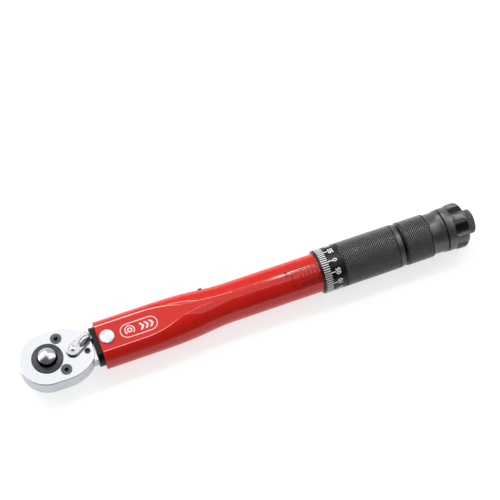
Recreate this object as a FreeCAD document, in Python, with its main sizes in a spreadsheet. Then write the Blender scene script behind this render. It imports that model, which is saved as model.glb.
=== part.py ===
import FreeCAD, Part
import math
import os

import Sketcher

from FreeCAD import Placement, Rotation, Vector

# A click-type torque wrench with a quarter-inch ratchet head.
# Row frame: origin at the centre of the drive square's end face, +X along the wrench towards
# the handle, +Z up through the face that carries the reversing lever. Millimetres.
# Every sub-part is drawn about the tube's axis and lifted by axis_height.
# Positions along X are measured from the drive axis, heights from the tube's axis.

SIZES = {
    # Whole wrench
    "axis_height": 13.6,
    "running_gap": 0.05,
    # Head, seen from above
    "head_radius": 16.3,
    "shoulder_start": 8.2,
    "shoulder_radius": 21.6,
    "face_corner_x": 24.5,
    "face_corner_y": 8.87,
    "face_end_radius": 24.0,
    # Head, heights
    "head_bottom": -6.0,
    "pocket_floor": -3.5,
    "plate_bottom": 4.0,
    "face_level": 6.4,
    "head_lower_round": 3.0,
    "face_edge_round": 0.9,
    # Neck and lever arm
    "neck_start": 17.0,
    "neck_half_width": 9.2,
    "neck_half_height": 4.0,
    "neck_end": 31.0,
    "arm_start": 44.0,
    "arm_half_width": 5.6,
    "arm_end": 84.0,
    "pivot_boss_radius": 3.7,
    "pivot_boss_half_height": 6.3,
    # Drive gear and square
    "gear_teeth": 36,
    "gear_tip_radius": 10.3,
    "gear_root_radius": 9.55,
    "tooth_space_at_tip": 1.4,
    "tooth_space_at_root": 0.4,
    "gear_bottom": -3.45,
    "gear_top": 3.9,
    "gear_pocket_radius": 10.5,
    "lower_journal_radius": 6.9,
    "lower_journal_end": -6.4,
    "upper_journal_radius": 8.95,
    "ring_level": 7.1,
    "drive_square": 6.35,
    "square_chamfer": 0.5,
    "button_well_radius": 5.7,
    "button_well_floor": 0.5,
    "stem_radius": 1.0,
    "stem_end": -10.9,
    # Release button and socket ball
    "button_radius": 4.95,
    "button_skirt": 4.6,
    "button_rim": 10.0,
    "button_top": 12.0,
    "button_travel": 1.5,
    "ball_level": -9.8,
    "ball_radius": 1.25,
    "ball_offset": 2.4,
    # Cover screws
    "screw_x": 8.0,
    "screw_y": 9.9,
    "screw_head_radius": 3.05,
    "screw_head_height": 1.6,
    "socket_radius": 1.12,
    "socket_depth": 1.2,
    "socket_lobe_radius": 0.42,
    "socket_lobe_place": 1.1,
    "screw_thread_radius": 1.45,
    "screw_end": -2.2,
    "counterbore_radius": 3.27,
    "counterbore_depth": 1.7,
    # Reversing lever, its shaft, and the pawl
    "lever_x": 15.0,
    "lever_angle": 27.0,
    "lever_bottom": 6.5,
    "lever_top": 8.3,
    "lever_round": 4.2,
    "lever_length": 12.4,
    "lever_tip_half_width": 3.5,
    "ridge_top": 11.0,
    "ridge_centre": 8.3,
    "ridge_half_length": 4.0,
    "ridge_half_width": 1.8,
    "ridge_offset": -1.3,
    "shaft_radius": 2.4,
    "rivet_radius": 1.5,
    "detent_reach": 8.0,
    "detent_angle": 23.7,
    "detent_hole_radius": 1.65,
    "detent_ball_radius": 0.65,
    "pawl_eye_radius": 4.2,
    "pawl_half_width": 6.4,
    "pawl_rock": 4.0,
    "pawl_pocket_end": 19.6,
    "pawl_pocket_half_width": 7.2,
    # Pivot pin
    "pivot_x": 35.0,
    "pin_radius": 2.5,
    "pin_head_radius": 4.25,
    "pin_head_height": 0.7,
    # Tube: a flattened front that turns into a round shank
    "tube_front": 30.0,
    "tube_end": 205.0,
    "tube_wall": 2.0,
    "round_from": 110.0,
    "flare_start": 56.0,
    "side_flare_length": 52.0,
    "round_flare_length": 34.0,
    "flat_flare_length": 32.0,
    "side_centre_front": 4.8,
    "side_radius_front": 9.5,
    "flat_level_front": 8.9,
    "tube_radius": 11.45,
    "tail_start": 196.2,
    "tail_radius": 10.45,
    "crease_radius": 1.1,
    "inner_crease_radius": 0.4,
    "bore_from": 88.0,
    # Front collar
    "collar_front": 26.7,
    "collar_inset": 2.42,
    "collar_plug_end": 31.2,
    # Click mechanism
    "block_side": 6.0,
    "block_edge_round": 0.5,
    "plunger_end": 110.0,
    "plunger_cup_radius": 7.6,
    "plunger_cup_depth": 4.0,
    "guide_screw_x": 94.0,
    "guide_screw_angle": 25.0,
    "guide_screw_radius": 1.2,
    "guide_screw_inner": 7.6,
    "guide_screw_outer": 12.9,
    "click_stroke": 1.6,
    # Main spring and the piece that presses it
    "spring_mean_radius": 6.1,
    "spring_wire_radius": 1.3,
    "spring_pitch": 5.5,
    "seat_front": 186.0,
    "seat_flange_end": 189.0,
    "seat_radius": 8.9,
    "seat_boss_radius": 4.5,
    "seat_boss_length": 4.0,
    "washer_end": 190.0,
    # Adjusting screw and its nut
    "thread_radius": 5.0,
    "nut_front": 190.6,
    "screw_bore_radius": 1.97,
    "thread_end": 218.4,
    "hex_circumradius": 4.9,
    "hex_end": 225.8,
    "nut_pin_x": 198.0,
    "nut_pin_radius": 1.0,
    # Handle: scale thimble and grip
    "sleeve_bore_radius": 11.55,
    "rear_bore_radius": 10.55,
    "rear_bore_start": 208.9,
    "grip_radius": 13.0,
    "thimble_front": 161.9,
    "thimble_bevel": 0.6,
    "thimble_end": 175.6,
    "spigot_radius": 12.25,
    "spigot_start": 168.0,
    "grip_start": 175.9,
    "groove_start": 212.5,
    "groove_end": 214.7,
    "groove_radius": 11.5,
    "waist_start": 231.0,
    "waist_radius": 12.1,
    "waist_end": 237.2,
    "grip_end": 239.82,
    "web_start": 218.5,
    "web_end": 223.5,
    "chamber_radius": 9.05,
    # Lock knob, its rod and the end cap
    "knob_start": 240.5,
    "knob_collar_radius": 12.9,
    "lobe_start": 245.0,
    "lobe_radius": 13.5,
    "knob_end": 254.0,
    "scallop_radius": 9.0,
    "scallop_floor": 11.0,
    "scallop_angle": 5.0,
    "cap_radius": 7.2,
    "cap_start": 254.5,
    "cap_end": 260.9,
    "rod_radius": 1.9,
    "rod_thread_radius": 3.45,
    "rod_tail_radius": 2.5,
    "bush_start": 231.5,
    "lock_ball_x": 203.0,
    "lock_ball_radius": 1.4,
    "lock_ball_offset": 3.3,
}

doc = FreeCAD.newDocument("torque_wrench")
pieces = []


class Size:
    """A number together with the spreadsheet expression that gives it."""

    def __init__(self, value, text):
        self.value = value
        self.text = text

    def joined(self, other, sign, value):
        return Size(value, f"({self.text} {sign} {text_of(other)})")

    def __add__(self, other):
        return self.joined(other, "+", self.value + number(other))

    def __sub__(self, other):
        return self.joined(other, "-", self.value - number(other))

    def __mul__(self, other):
        return self.joined(other, "*", self.value * number(other))

    def __truediv__(self, other):
        return self.joined(other, "/", self.value / number(other))

    def __neg__(self):
        return Size(-self.value, f"(0 - {self.text})")


def number(size):
    """The plain value of a Size or a number."""
    return size.value if isinstance(size, Size) else float(size)


def text_of(size):
    """The expression text of a Size or a number."""
    return size.text if isinstance(size, Size) else f"{float(size):g}"


def make_sheet():
    """Writes the driving dimensions into a spreadsheet and returns them as Size objects by name."""
    sheet = doc.addObject("Spreadsheet::Sheet", "Sizes")
    for row, (alias, value) in enumerate(SIZES.items(), start=1):
        sheet.set(f"A{row}", alias)
        sheet.set(f"B{row}", str(value))
        sheet.setAlias(f"B{row}", alias)
    doc.recompute()
    return {alias: Size(sheet.get(alias), f"Sizes.{alias}") for alias in SIZES}


class Names:
    """Gives each driving dimension as an attribute."""

    def __init__(self, sizes):
        self.__dict__.update(sizes)


s = Names(make_sheet())
GAP = s.running_gap


# ---------------------------------------------------------------- helpers

def bind(thing, prop, size):
    """Binds one property to a size's expression."""
    thing.setExpression(prop, text_of(size))


def move(thing, x=0, y=0, z=0, rotation=None):
    """Places an object, with each coordinate bound to its size."""
    turn = rotation or Rotation()
    thing.Placement = Placement(Vector(number(x), number(y), number(z)), turn)
    for prop, size in (("x", x), ("y", y), ("z", z)):
        if isinstance(size, Size):
            bind(thing, f"Placement.Base.{prop}", size)
    return thing


def lift(thing, label, x=0, y=0, rotation=None):
    """Makes an object a finished sub-part: labels it and lifts it to the tube's height."""
    thing.Label = label
    move(thing, x, y, s.axis_height, rotation)
    pieces.append(thing)
    return thing


def towards(x, y, z):
    """The rotation that turns +Z to a direction."""
    return Rotation(Vector(0, 0, 1), Vector(x, y, z))


ALONG_X = towards(1, 0, 0)


def cylinder(name, radius, length, x=0, y=0, z=0, rotation=None):
    thing = doc.addObject("Part::Cylinder", name)
    bind(thing, "Radius", radius)
    bind(thing, "Height", length)
    return move(thing, x, y, z, rotation)


def box(name, x_span, y_span, z_span):
    """A box between two bounds on each axis."""
    thing = doc.addObject("Part::Box", name)
    for prop, span in (("Length", x_span), ("Width", y_span), ("Height", z_span)):
        bind(thing, prop, Size(number(span[1]) - number(span[0]),
                               f"({text_of(span[1])} - {text_of(span[0])})"))
    return move(thing, x_span[0], y_span[0], z_span[0])


def sphere(name, radius, x=0, y=0, z=0):
    thing = doc.addObject("Part::Sphere", name)
    bind(thing, "Radius", radius)
    return move(thing, x, y, z)


def fuse(name, *shapes):
    thing = doc.addObject("Part::MultiFuse", name)
    thing.Shapes = list(shapes)
    thing.Refine = True
    return thing


def cut(name, base, *tools):
    """Takes the tools away from the base."""
    thing = doc.addObject("Part::Cut", name)
    thing.Base = base
    thing.Tool = tools[0] if len(tools) == 1 else fuse(name + "_tools", *tools)
    thing.Refine = True
    return thing


def group(name, *shapes):
    """Identical fasteners held in one node as separate solids."""
    thing = doc.addObject("Part::Compound", name)
    thing.Links = list(shapes)
    return thing


def new_body(name):
    return doc.addObject("PartDesign::Body", name)


def new_sketch(body, role, name, level=None):
    """A sketch on one of the body's own origin planes, offset along the plane's normal."""
    plane = next(item for item in body.Origin.OriginFeatures if item.Role == role)
    sketch = body.newObject("Sketcher::SketchObject", name)
    sketch.AttachmentSupport = (plane, [""])
    sketch.MapMode = "FlatFace"
    if level is not None:
        bind(sketch, "AttachmentOffset.Base.z", level)
    return sketch


def fix_point(sketch, edge, end, x, y):
    """Ties a sketch point to two sizes measured from the sketch's origin."""
    for kind, size in (("DistanceX", x), ("DistanceY", y)):
        index = sketch.addConstraint(
            Sketcher.Constraint(kind, -1, 1, edge, end, number(size)))
        if isinstance(size, Size):
            bind(sketch, f"Constraints[{index}]", size)


def arc_between(start, finish, radius):
    """A minor arc; a positive radius turns left from start to finish."""
    chord = finish - start
    half = chord.Length / 2
    rise = math.sqrt(max(radius * radius - half * half, 0))
    left = Vector(-chord.y, chord.x, 0).normalize()
    centre = (start + finish) / 2 + left * math.copysign(rise, radius)
    first, last = (start, finish) if radius > 0 else (finish, start)
    angles = [math.atan2(p.y - centre.y, p.x - centre.x) for p in (first, last)]
    circle = Part.Circle(centre, Vector(0, 0, 1), abs(radius))
    return Part.ArcOfCircle(circle, angles[0], angles[1])


def outline(sketch, points):
    """A closed outline. Each point is (x, y), or (x, y, radius) if an arc leads to it."""
    spots = [Vector(number(p[0]), number(p[1]), 0) for p in points]
    ends = []
    for i, here in enumerate(spots):
        following = points[(i + 1) % len(points)]
        there = spots[(i + 1) % len(points)]
        if len(following) == 3:
            radius = number(following[2])
            edge = sketch.addGeometry(arc_between(here, there, radius))
            size = following[2] if radius > 0 else -following[2]
            index = sketch.addConstraint(Sketcher.Constraint("Radius", edge, abs(radius)))
            bind(sketch, f"Constraints[{index}]", size)
            ends.append((edge, 1, 2) if radius > 0 else (edge, 2, 1))
        else:
            edge = sketch.addGeometry(Part.LineSegment(here, there))
            ends.append((edge, 1, 2))
    for i, (edge, first, last) in enumerate(ends):
        next_edge, next_first, _ = ends[(i + 1) % len(ends)]
        sketch.addConstraint(
            Sketcher.Constraint("Coincident", edge, last, next_edge, next_first))
        fix_point(sketch, edge, first, points[i][0], points[i][1])


def circles(sketch, radius, *centres):
    for x, y in centres:
        edge = sketch.addGeometry(
            Part.Circle(Vector(number(x), number(y), 0), Vector(0, 0, 1), number(radius)))
        index = sketch.addConstraint(
            Sketcher.Constraint("Radius", edge, number(radius)))
        bind(sketch, f"Constraints[{index}]", radius)
        fix_point(sketch, edge, 3, x, y)


def feature(body, kind, name, sketch, length, upwards):
    """A pad or a pocket of one sketch, up or down from its level."""
    thing = body.newObject(f"PartDesign::{kind}", name)
    thing.Profile = sketch
    bind(thing, "Length", length)
    thing.Reversed = upwards if kind == "Pocket" else not upwards
    before = body.Shape.Volume if body.Shape and not body.Shape.isNull() else 0
    doc.recompute()
    grew = body.Shape.Volume > before
    if grew != (kind == "Pad"):
        raise RuntimeError(f"{name} points the wrong way")
    return thing


def turned(name, points, axis="H_Axis"):
    """A turned body: an outline in the XZ plane spun about X (H_Axis) or Z (V_Axis)."""
    body = new_body(name)
    sketch = new_sketch(body, "XZ_Plane", name + "_profile")
    outline(sketch, points)
    spin = body.newObject("PartDesign::Revolution", name + "_spin")
    spin.Profile = sketch
    spin.ReferenceAxis = (sketch, [axis])
    spin.Angle = 360
    return body


def coil(name, mean_radius, wire_radius, pitch, length, x=0, y=0, z=0, rotation=None):
    """A round-wire helical spring standing on a point."""
    spine = doc.addObject("Part::Helix", name + "_spine")
    bind(spine, "Radius", mean_radius)
    bind(spine, "Pitch", pitch)
    bind(spine, "Height", length)
    wire = doc.addObject("Part::Circle", name + "_wire")
    bind(wire, "Radius", wire_radius)
    move(wire, mean_radius, 0, 0, Rotation(Vector(1, 0, 0), 90))
    spring = doc.addObject("Part::Sweep", name)
    spring.Sections = [wire]
    spring.Spine = (spine, [])
    spring.Solid = True
    spring.Frenet = True
    return move(spring, x, y, z, rotation)


# ---------------------------------------------------------------- ratchet head

def head_points():
    """A round nose, straight sides, arched shoulders and a shallow arc towards the neck."""
    nose = s.head_radius
    return [
        (0, nose),
        (-nose, 0, nose),
        (0, -nose, nose),
        (s.shoulder_start, -nose),
        (s.face_corner_x, -s.face_corner_y, s.shoulder_radius),
        (s.face_corner_x, s.face_corner_y, s.face_end_radius),
        (s.shoulder_start, nose, s.shoulder_radius),
    ]


def mirrored(points):
    """A half outline given from one end to the other, closed by its mirror image in the X axis."""
    return points + [(x, -y) for x, y in reversed(points)]


def neck_points():
    """The neck and the lever arm behind it, narrowing towards the click mechanism."""
    return mirrored([
        (s.neck_start, s.neck_half_width),
        (s.neck_end, s.neck_half_width),
        (s.arm_start, s.arm_half_width),
        (s.arm_end, s.arm_half_width),
    ])


def edges_at(body, level, reach):
    """Names of the body's edges that lie at one height, farther than reach from the drive axis."""
    names = []
    for i, edge in enumerate(body.Shape.Edges, start=1):
        bounds = edge.BoundBox
        middle = edge.valueAt((edge.FirstParameter + edge.LastParameter) / 2)
        if bounds.ZLength < 1e-6 and abs(bounds.ZMin - level) < 1e-6:
            if math.hypot(middle.x, middle.y) > reach:
                names.append(f"Edge{i}")
    return names


def dress(body, kind, name, edges, size):
    """A fillet or a chamfer on the body's named edges."""
    base = body.Tip
    thing = body.newObject(f"PartDesign::{kind}", name)
    thing.Base = (base, edges)
    bind(thing, "Radius" if kind == "Fillet" else "Size", size)
    body.Tip = thing
    doc.recompute()
    return thing


def make_head_body():
    body = new_body("head_blank")
    sketch = new_sketch(body, "XY_Plane", "head_outline", s.head_bottom)
    outline(sketch, head_points())
    feature(body, "Pad", "head_pad", sketch, s.plate_bottom - s.head_bottom, True)
    edges = edges_at(body, s.head_bottom.value, s.head_radius.value - 1)
    dress(body, "Fillet", "head_lower_round", edges, s.head_lower_round)
    neck = new_sketch(body, "XY_Plane", "neck_outline", -s.neck_half_height)
    outline(neck, neck_points())
    feature(body, "Pad", "neck_pad", neck, s.neck_half_height * 2, True)
    boss = new_sketch(body, "XY_Plane", "pivot_boss_outline", -s.pivot_boss_half_height)
    circles(boss, s.pivot_boss_radius, (s.pivot_x, 0))
    feature(body, "Pad", "pivot_boss", boss, s.pivot_boss_half_height * 2, True)
    pocket = new_sketch(body, "XY_Plane", "gear_pocket_outline", s.pocket_floor)
    circles(pocket, s.gear_pocket_radius, (0, 0))
    depth = s.plate_bottom - s.pocket_floor
    feature(body, "Pocket", "gear_pocket", pocket, depth, True)
    room = new_sketch(body, "XY_Plane", "pawl_pocket_outline", s.pocket_floor)
    outline(room, mirrored([(s.screw_x, s.pawl_pocket_half_width),
                            (s.lever_x, s.pawl_pocket_half_width),
                            (s.pawl_pocket_end, s.pawl_eye_radius)]))
    feature(body, "Pocket", "pawl_pocket", room, depth, True)
    journal = new_sketch(body, "XY_Plane", "journal_outline", s.head_bottom - 1)
    circles(journal, s.lower_journal_radius + GAP, (0, 0))
    feature(body, "Pocket", "journal_hole", journal, s.pocket_floor - s.head_bottom + 2, True)
    foot = new_sketch(body, "XY_Plane", "shaft_foot_outline", s.pocket_floor - 1.65)
    circles(foot, s.rivet_radius + 0.1 + GAP, (s.lever_x, 0))
    feature(body, "Pocket", "shaft_foot_hole", foot, depth, True)
    threads = new_sketch(body, "XY_Plane", "thread_outline", s.screw_end - 0.3)
    circles(threads, s.screw_thread_radius + GAP, (s.screw_x, s.screw_y),
            (s.screw_x, -s.screw_y))
    feature(body, "Pocket", "thread_holes", threads, depth, True)
    pin = new_sketch(body, "XY_Plane", "pivot_hole_outline", -s.pivot_boss_half_height - 1)
    circles(pin, s.pin_radius + GAP, (s.pivot_x, 0))
    feature(body, "Pocket", "pivot_hole", pin, s.pivot_boss_half_height * 2 + 2, True)
    return lift(body, "head_body")


def polar(radius, angle):
    """The two coordinates of a point given by a radius and an angle in degrees."""
    turn = math.radians(angle.value)
    along = Size(radius.value * math.cos(turn),
                 f"({radius.text} * cos({angle.text} * 1 deg))")
    across = Size(radius.value * math.sin(turn),
                  f"({radius.text} * sin({angle.text} * 1 deg))")
    return along, across


def detent_spots():
    """The two dimples that hold the reversing lever, left and right of the centre line."""
    along, across = polar(s.detent_reach, s.detent_angle)
    return (s.lever_x + along, across), (s.lever_x + along, -across)


def make_cover_plate():
    body = new_body("cover_blank")
    sketch = new_sketch(body, "XY_Plane", "cover_outline", s.plate_bottom)
    outline(sketch, head_points())
    thickness = s.face_level - s.plate_bottom
    feature(body, "Pad", "cover_pad", sketch, thickness, True)
    edges = edges_at(body, s.face_level.value, s.head_radius.value - 1)
    dress(body, "Fillet", "cover_edge_round", edges, s.face_edge_round)
    ring = new_sketch(body, "XY_Plane", "ring_hole_outline", s.plate_bottom - 1)
    circles(ring, s.upper_journal_radius + GAP, (0, 0))
    circles(ring, s.shaft_radius + GAP, (s.lever_x, 0))
    circles(ring, s.screw_thread_radius + 0.2, (s.screw_x, s.screw_y), (s.screw_x, -s.screw_y))
    feature(body, "Pocket", "cover_holes", ring, thickness + 2, True)
    sinks = new_sketch(body, "XY_Plane", "counterbore_outline", s.face_level - s.counterbore_depth)
    circles(sinks, s.counterbore_radius, (s.screw_x, s.screw_y), (s.screw_x, -s.screw_y))
    feature(body, "Pocket", "counterbores", sinks, s.counterbore_depth + 1, True)
    dimples = new_sketch(body, "XY_Plane", "dimple_outline", s.face_level - 1.4)
    circles(dimples, s.detent_hole_radius, *detent_spots())
    feature(body, "Pocket", "detent_dimples", dimples, s.counterbore_depth + 1, True)
    return lift(body, "cover_plate")


def cover_screw(name, y):
    """A cheese-head screw with a six-lobed socket."""
    seat = s.face_level - s.counterbore_depth + 0.02
    top = seat + s.screw_head_height
    head = cylinder(name + "_head", s.screw_head_radius, s.screw_head_height, s.screw_x, y, seat)
    shank = cylinder(name + "_shank", s.screw_thread_radius, seat - s.screw_end + 0.1,
                     s.screw_x, y, s.screw_end)
    floor = top - s.socket_depth
    socket = [cylinder(name + "_socket", s.socket_radius, 2, s.screw_x, y, floor)]
    for i in range(6):
        angle = math.radians(60 * i)
        socket.append(cylinder(f"{name}_lobe{i}", s.socket_lobe_radius, 2,
                               s.screw_x + s.socket_lobe_place * math.cos(angle),
                               y + s.socket_lobe_place * math.sin(angle), floor))
    return cut(name, fuse(name + "_blank", head, shank), *socket)


def make_cover_screws():
    pair = [cover_screw("screw_left", s.screw_y), cover_screw("screw_right", -s.screw_y)]
    return lift(group("screw_pair", *pair), "cover_screws")


def make_drive_gear():
    """The ratchet wheel with its two journals and the drive square in one piece."""
    body = turned("drive_blank", [
        (0, s.lower_journal_end),
        (s.lower_journal_radius, s.lower_journal_end),
        (s.lower_journal_radius, s.gear_bottom),
        (s.gear_tip_radius, s.gear_bottom),
        (s.gear_tip_radius, s.gear_top),
        (s.upper_journal_radius, s.gear_top),
        (s.upper_journal_radius, s.ring_level - 0.3),
        (s.upper_journal_radius - 0.3, s.ring_level),
        (s.button_well_radius, s.ring_level),
        (s.button_well_radius, s.button_well_floor),
        (0, s.button_well_floor),
    ], "V_Axis")
    doc.recompute()
    half = s.drive_square / 2
    square = new_sketch(body, "XY_Plane", "square_outline", -s.axis_height)
    outline(square, mirrored([(-half, half), (half, half)]))
    length = s.axis_height + s.lower_journal_end + 0.2
    feature(body, "Pad", "square_pad", square, length, True)
    tip = edges_at(body, -s.axis_height.value, 0)
    dress(body, "Chamfer", "square_lead", tip, s.square_chamfer)
    stem_floor = s.stem_end - s.button_travel - 0.1
    stem = new_sketch(body, "XY_Plane", "stem_hole_outline", stem_floor)
    circles(stem, s.stem_radius + GAP, (0, 0))
    feature(body, "Pocket", "stem_hole", stem, s.button_well_floor - stem_floor + 1, True)
    ball = new_sketch(body, "XZ_Plane", "ball_hole_outline")
    circles(ball, s.ball_radius + GAP, (0, s.ball_level))
    feature(body, "Pocket", "ball_hole", ball, half + 1, True)
    space = new_sketch(body, "XY_Plane", "tooth_space_outline", s.gear_bottom - 0.5)
    outline(space, mirrored([(s.gear_root_radius, s.tooth_space_at_root / 2),
                             (s.gear_tip_radius + 0.1, s.tooth_space_at_tip / 2)]))
    tooth = feature(body, "Pocket", "tooth_space", space, s.gear_top - s.gear_bottom + 1, True)
    ring = body.newObject("PartDesign::PolarPattern", "tooth_spaces")
    ring.Originals = [tooth]
    ring.Axis = (space, ["N_Axis"])
    ring.Angle = 360
    bind(ring, "Occurrences", s.gear_teeth)
    body.Tip = ring
    return lift(body, "drive_gear")


def make_release_button():
    """A domed push button on a stem whose waist lets the socket ball sink in."""
    dome = s.button_top - s.button_rim
    dome_radius = (s.button_radius * s.button_radius + dome * dome) / (dome * 2)
    waist = s.stem_radius / 2
    level = s.ball_level
    body = turned("button_blank", [
        (0, s.stem_end),
        (s.stem_radius, s.stem_end),
        (s.stem_radius, level + 0.2),
        (waist, level + 1.0),
        (waist, level + 2.6),
        (s.stem_radius, level + 3.2),
        (s.stem_radius, s.button_skirt),
        (s.button_radius, s.button_skirt),
        (s.button_radius, s.button_rim),
        (0, s.button_top, dome_radius),
    ], "V_Axis")
    return lift(body, "release_button")


def make_button_spring():
    wire = 0.35
    length = s.button_skirt - s.button_well_floor - 2 * wire - 0.1
    spring = coil("button_coil", Size(2.6, "2.6"), Size(wire, f"{wire}"), Size(1.1, "1.1"),
                  length, 0, 0, s.button_well_floor + wire + 0.05)
    holder = group("button_spring_group", spring)
    return lift(holder, "button_spring")


def make_socket_ball():
    ball = sphere("socket_ball_shape", s.ball_radius, 0, -s.ball_offset, s.ball_level)
    return lift(group("socket_ball_group", ball), "socket_ball")


# ---------------------------------------------------------------- reversing lever and pawl

def lever_spin():
    """The lever's rest direction about its own shaft."""
    return Rotation(Vector(0, 0, 1), s.lever_angle.value)


def lever_piece(thing, label):
    """Lifts a piece drawn about the lever's shaft, and turns it with the lever."""
    lift(thing, label, s.lever_x, 0, lever_spin())
    bind(thing, "Placement.Rotation.Angle", s.lever_angle)
    return thing


def make_reverse_lever():
    """A flat lever with a raised thumb ridge standing in a shallow recess."""
    body = new_body("lever_blank")
    sketch = new_sketch(body, "XY_Plane", "lever_outline", s.lever_bottom)
    around = s.lever_round
    tip = s.lever_tip_half_width
    outline(sketch, [
        (0, around),
        (-around, 0, around),
        (0, -around, around),
        (s.lever_length - 1.2, -tip),
        (s.lever_length, -tip + 1.3, Size(1.4, "1.4")),
        (s.lever_length, tip - 1.3, s.lever_length),
        (s.lever_length - 1.2, tip, Size(1.4, "1.4")),
    ])
    feature(body, "Pad", "lever_pad", sketch, s.lever_top - s.lever_bottom, True)
    dress(body, "Fillet", "lever_edge_round", edges_at(body, s.lever_top.value, 0), Size(0.5, "0.5"))
    blank = body
    recess = doc.addObject("Part::Ellipsoid", "lever_recess")
    bind(recess, "Radius1", s.lever_top - s.lever_bottom - 0.7)
    bind(recess, "Radius2", s.ridge_half_length + 0.9)
    bind(recess, "Radius3", s.ridge_half_width + 0.7)
    move(recess, s.ridge_centre - 0.3, s.ridge_offset, s.lever_top)
    ridge = doc.addObject("Part::Ellipsoid", "lever_ridge")
    bind(ridge, "Radius1", s.ridge_top - s.lever_top + 1.3)
    bind(ridge, "Radius2", s.ridge_half_length)
    bind(ridge, "Radius3", s.ridge_half_width)
    ridge.Angle1 = 0
    move(ridge, s.ridge_centre, s.ridge_offset, s.lever_top - 1.3)
    eye = cylinder("lever_eye", s.rivet_radius + 0.02, 4, 0, 0, s.lever_bottom - 1)
    along, across = polar(s.detent_reach, s.detent_angle - s.lever_angle)
    nest = cylinder("detent_nest", s.detent_ball_radius + GAP, s.lever_top - s.lever_bottom + 1.3,
                    along, across, s.lever_bottom - 1)
    shell = fuse("lever_with_ridge", cut("lever_recessed", blank, recess), ridge)
    return lever_piece(cut("lever_shape", shell, eye, nest), "reverse_lever")


def make_lever_shaft():
    """The shaft under the lever, riveted over on top, with a cross hole for the plunger."""
    foot = s.pocket_floor + GAP
    body = turned("shaft_blank", [
        (0, foot - 1.6),
        (s.rivet_radius + 0.1, foot - 1.6),
        (s.rivet_radius + 0.1, foot),
        (s.shaft_radius, foot),
        (s.shaft_radius, s.lever_bottom - 0.02),
        (s.rivet_radius, s.lever_bottom - 0.02),
        (s.rivet_radius, s.lever_top + 0.2),
        (0, s.lever_top + 0.7, Size(2.5, "2.5")),
    ], "V_Axis")
    hole = cylinder("plunger_hole", Size(0.8, "0.8") + GAP, 5, 1.2, 0, 0.2, towards(-1, 0, 0))
    return lever_piece(cut("shaft_shape", body, hole), "lever_shaft")


def make_lever_plunger():
    nose = sphere("plunger_nose", Size(0.8, "0.8"), -2.2, 0, 0.2)
    rod = cylinder("plunger_rod", Size(0.8, "0.8"), 1.2, -1.0, 0, 0.2, towards(-1, 0, 0))
    return lever_piece(fuse("lever_plunger_shape", rod, nose), "lever_plunger")


def make_plunger_spring():
    spring = coil("plunger_coil", Size(0.55, "0.55"), Size(0.14, "0.14"), Size(0.45, "0.45"),
                  Size(1.7, "1.7"), -0.8, 0, 0.2, ALONG_X)
    return lever_piece(group("plunger_spring_group", spring), "lever_plunger_spring")


def make_detent_ball():
    """The lever's ball, held at its lifted height just clear of the head's face."""
    along, across = polar(s.detent_reach, s.detent_angle - s.lever_angle)
    ball = sphere("detent_ball_shape", s.detent_ball_radius, along, across,
                  s.face_level + GAP + s.detent_ball_radius)
    return lever_piece(group("detent_ball_group", ball), "lever_detent_ball")


def make_detent_spring():
    along, across = polar(s.detent_reach, s.detent_angle - s.lever_angle)
    low = s.face_level + GAP + s.detent_ball_radius * 2 + 0.15
    spring = coil("detent_coil", Size(0.45, "0.45"), Size(0.12, "0.12"), Size(0.28, "0.28"),
                  Size(0.5, "0.5"), along, across, low)
    return lever_piece(group("detent_spring_group", spring), "lever_detent_spring")


def gear_cutter(clearance):
    """The ratchet wheel's toothed outline, a little larger, as a prism for cutting the pawl."""
    teeth = int(s.gear_teeth.value)
    step = 2 * math.pi / teeth
    tip = s.gear_tip_radius.value + clearance
    root = s.gear_root_radius.value + clearance
    half_root = s.tooth_space_at_root.value / 2 / root - clearance / root
    half_tip = s.tooth_space_at_tip.value / 2 / tip - clearance / tip
    corners = []
    for i in range(teeth):
        middle = i * step
        for offset, radius in ((-half_tip, tip), (-half_root, root), (half_root, root),
                               (half_tip, tip)):
            corners.append(Vector(radius * math.cos(middle + offset),
                                  radius * math.sin(middle + offset), 0))
    face = Part.Face(Part.makePolygon(corners + corners[:1]))
    height = s.gear_top.value - s.gear_bottom.value + 2
    prism = face.extrude(Vector(0, 0, height))
    prism.translate(Vector(0, 0, s.gear_bottom.value - 1))
    return prism


def make_pawl():
    """A double-ended pawl around the lever's shaft, shaped by the wheel it meets as it rocks."""
    eye = Vector(s.lever_x.value, 0, 0)
    low = s.gear_bottom.value + GAP.value
    height = s.gear_top.value - s.gear_bottom.value - 2 * GAP.value
    half = s.pawl_half_width.value
    radius = s.pawl_eye_radius.value
    front = s.screw_x.value + 0.6
    corners = [(front, half), (eye.x - 3, half), (eye.x, radius), (eye.x, -radius),
               (eye.x - 3, -half), (front, -half)]
    wire = Part.makePolygon([Vector(x, y, low) for x, y in corners + corners[:1]])
    wings = Part.Face(wire).extrude(Vector(0, 0, height))
    hub = Part.makeCylinder(radius, height, Vector(eye.x, 0, low))
    bore = Part.makeCylinder(s.shaft_radius.value + GAP.value, height, Vector(eye.x, 0, low))
    relief = Part.makeBox(4, 4.4, height, Vector(front, -2.2, low))
    dent = Part.makeCylinder(3.2, 2.4, Vector(eye.x, 0, -1))
    dent = dent.common(Part.makeBox(4, 6, 3, Vector(eye.x - 5.7, -3, -1.2)))
    shape = wings.fuse(hub).cut(bore).cut(relief).cut(dent)
    rock = s.pawl_rock.value
    steps = 9
    for i in range(steps):
        cutter = gear_cutter(0.06)
        angle = -rock + 2 * rock * i / (steps - 1)
        cutter.rotate(eye, Vector(0, 0, 1), -angle)
        shape = shape.cut(cutter)
    shape.rotate(eye, Vector(0, 0, 1), rock)
    largest = max(shape.Solids, key=lambda solid: solid.Volume)
    thing = doc.addObject("Part::Feature", "pawl_shape")
    thing.Shape = largest.removeSplitter()
    return lift(thing, "pawl")


# ---------------------------------------------------------------- tube

def smooth(value):
    """Eases from 0 to 1 as value goes from 0 to 1."""
    value = min(max(value, 0), 1)
    return value * value * (3 - 2 * value)


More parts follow.
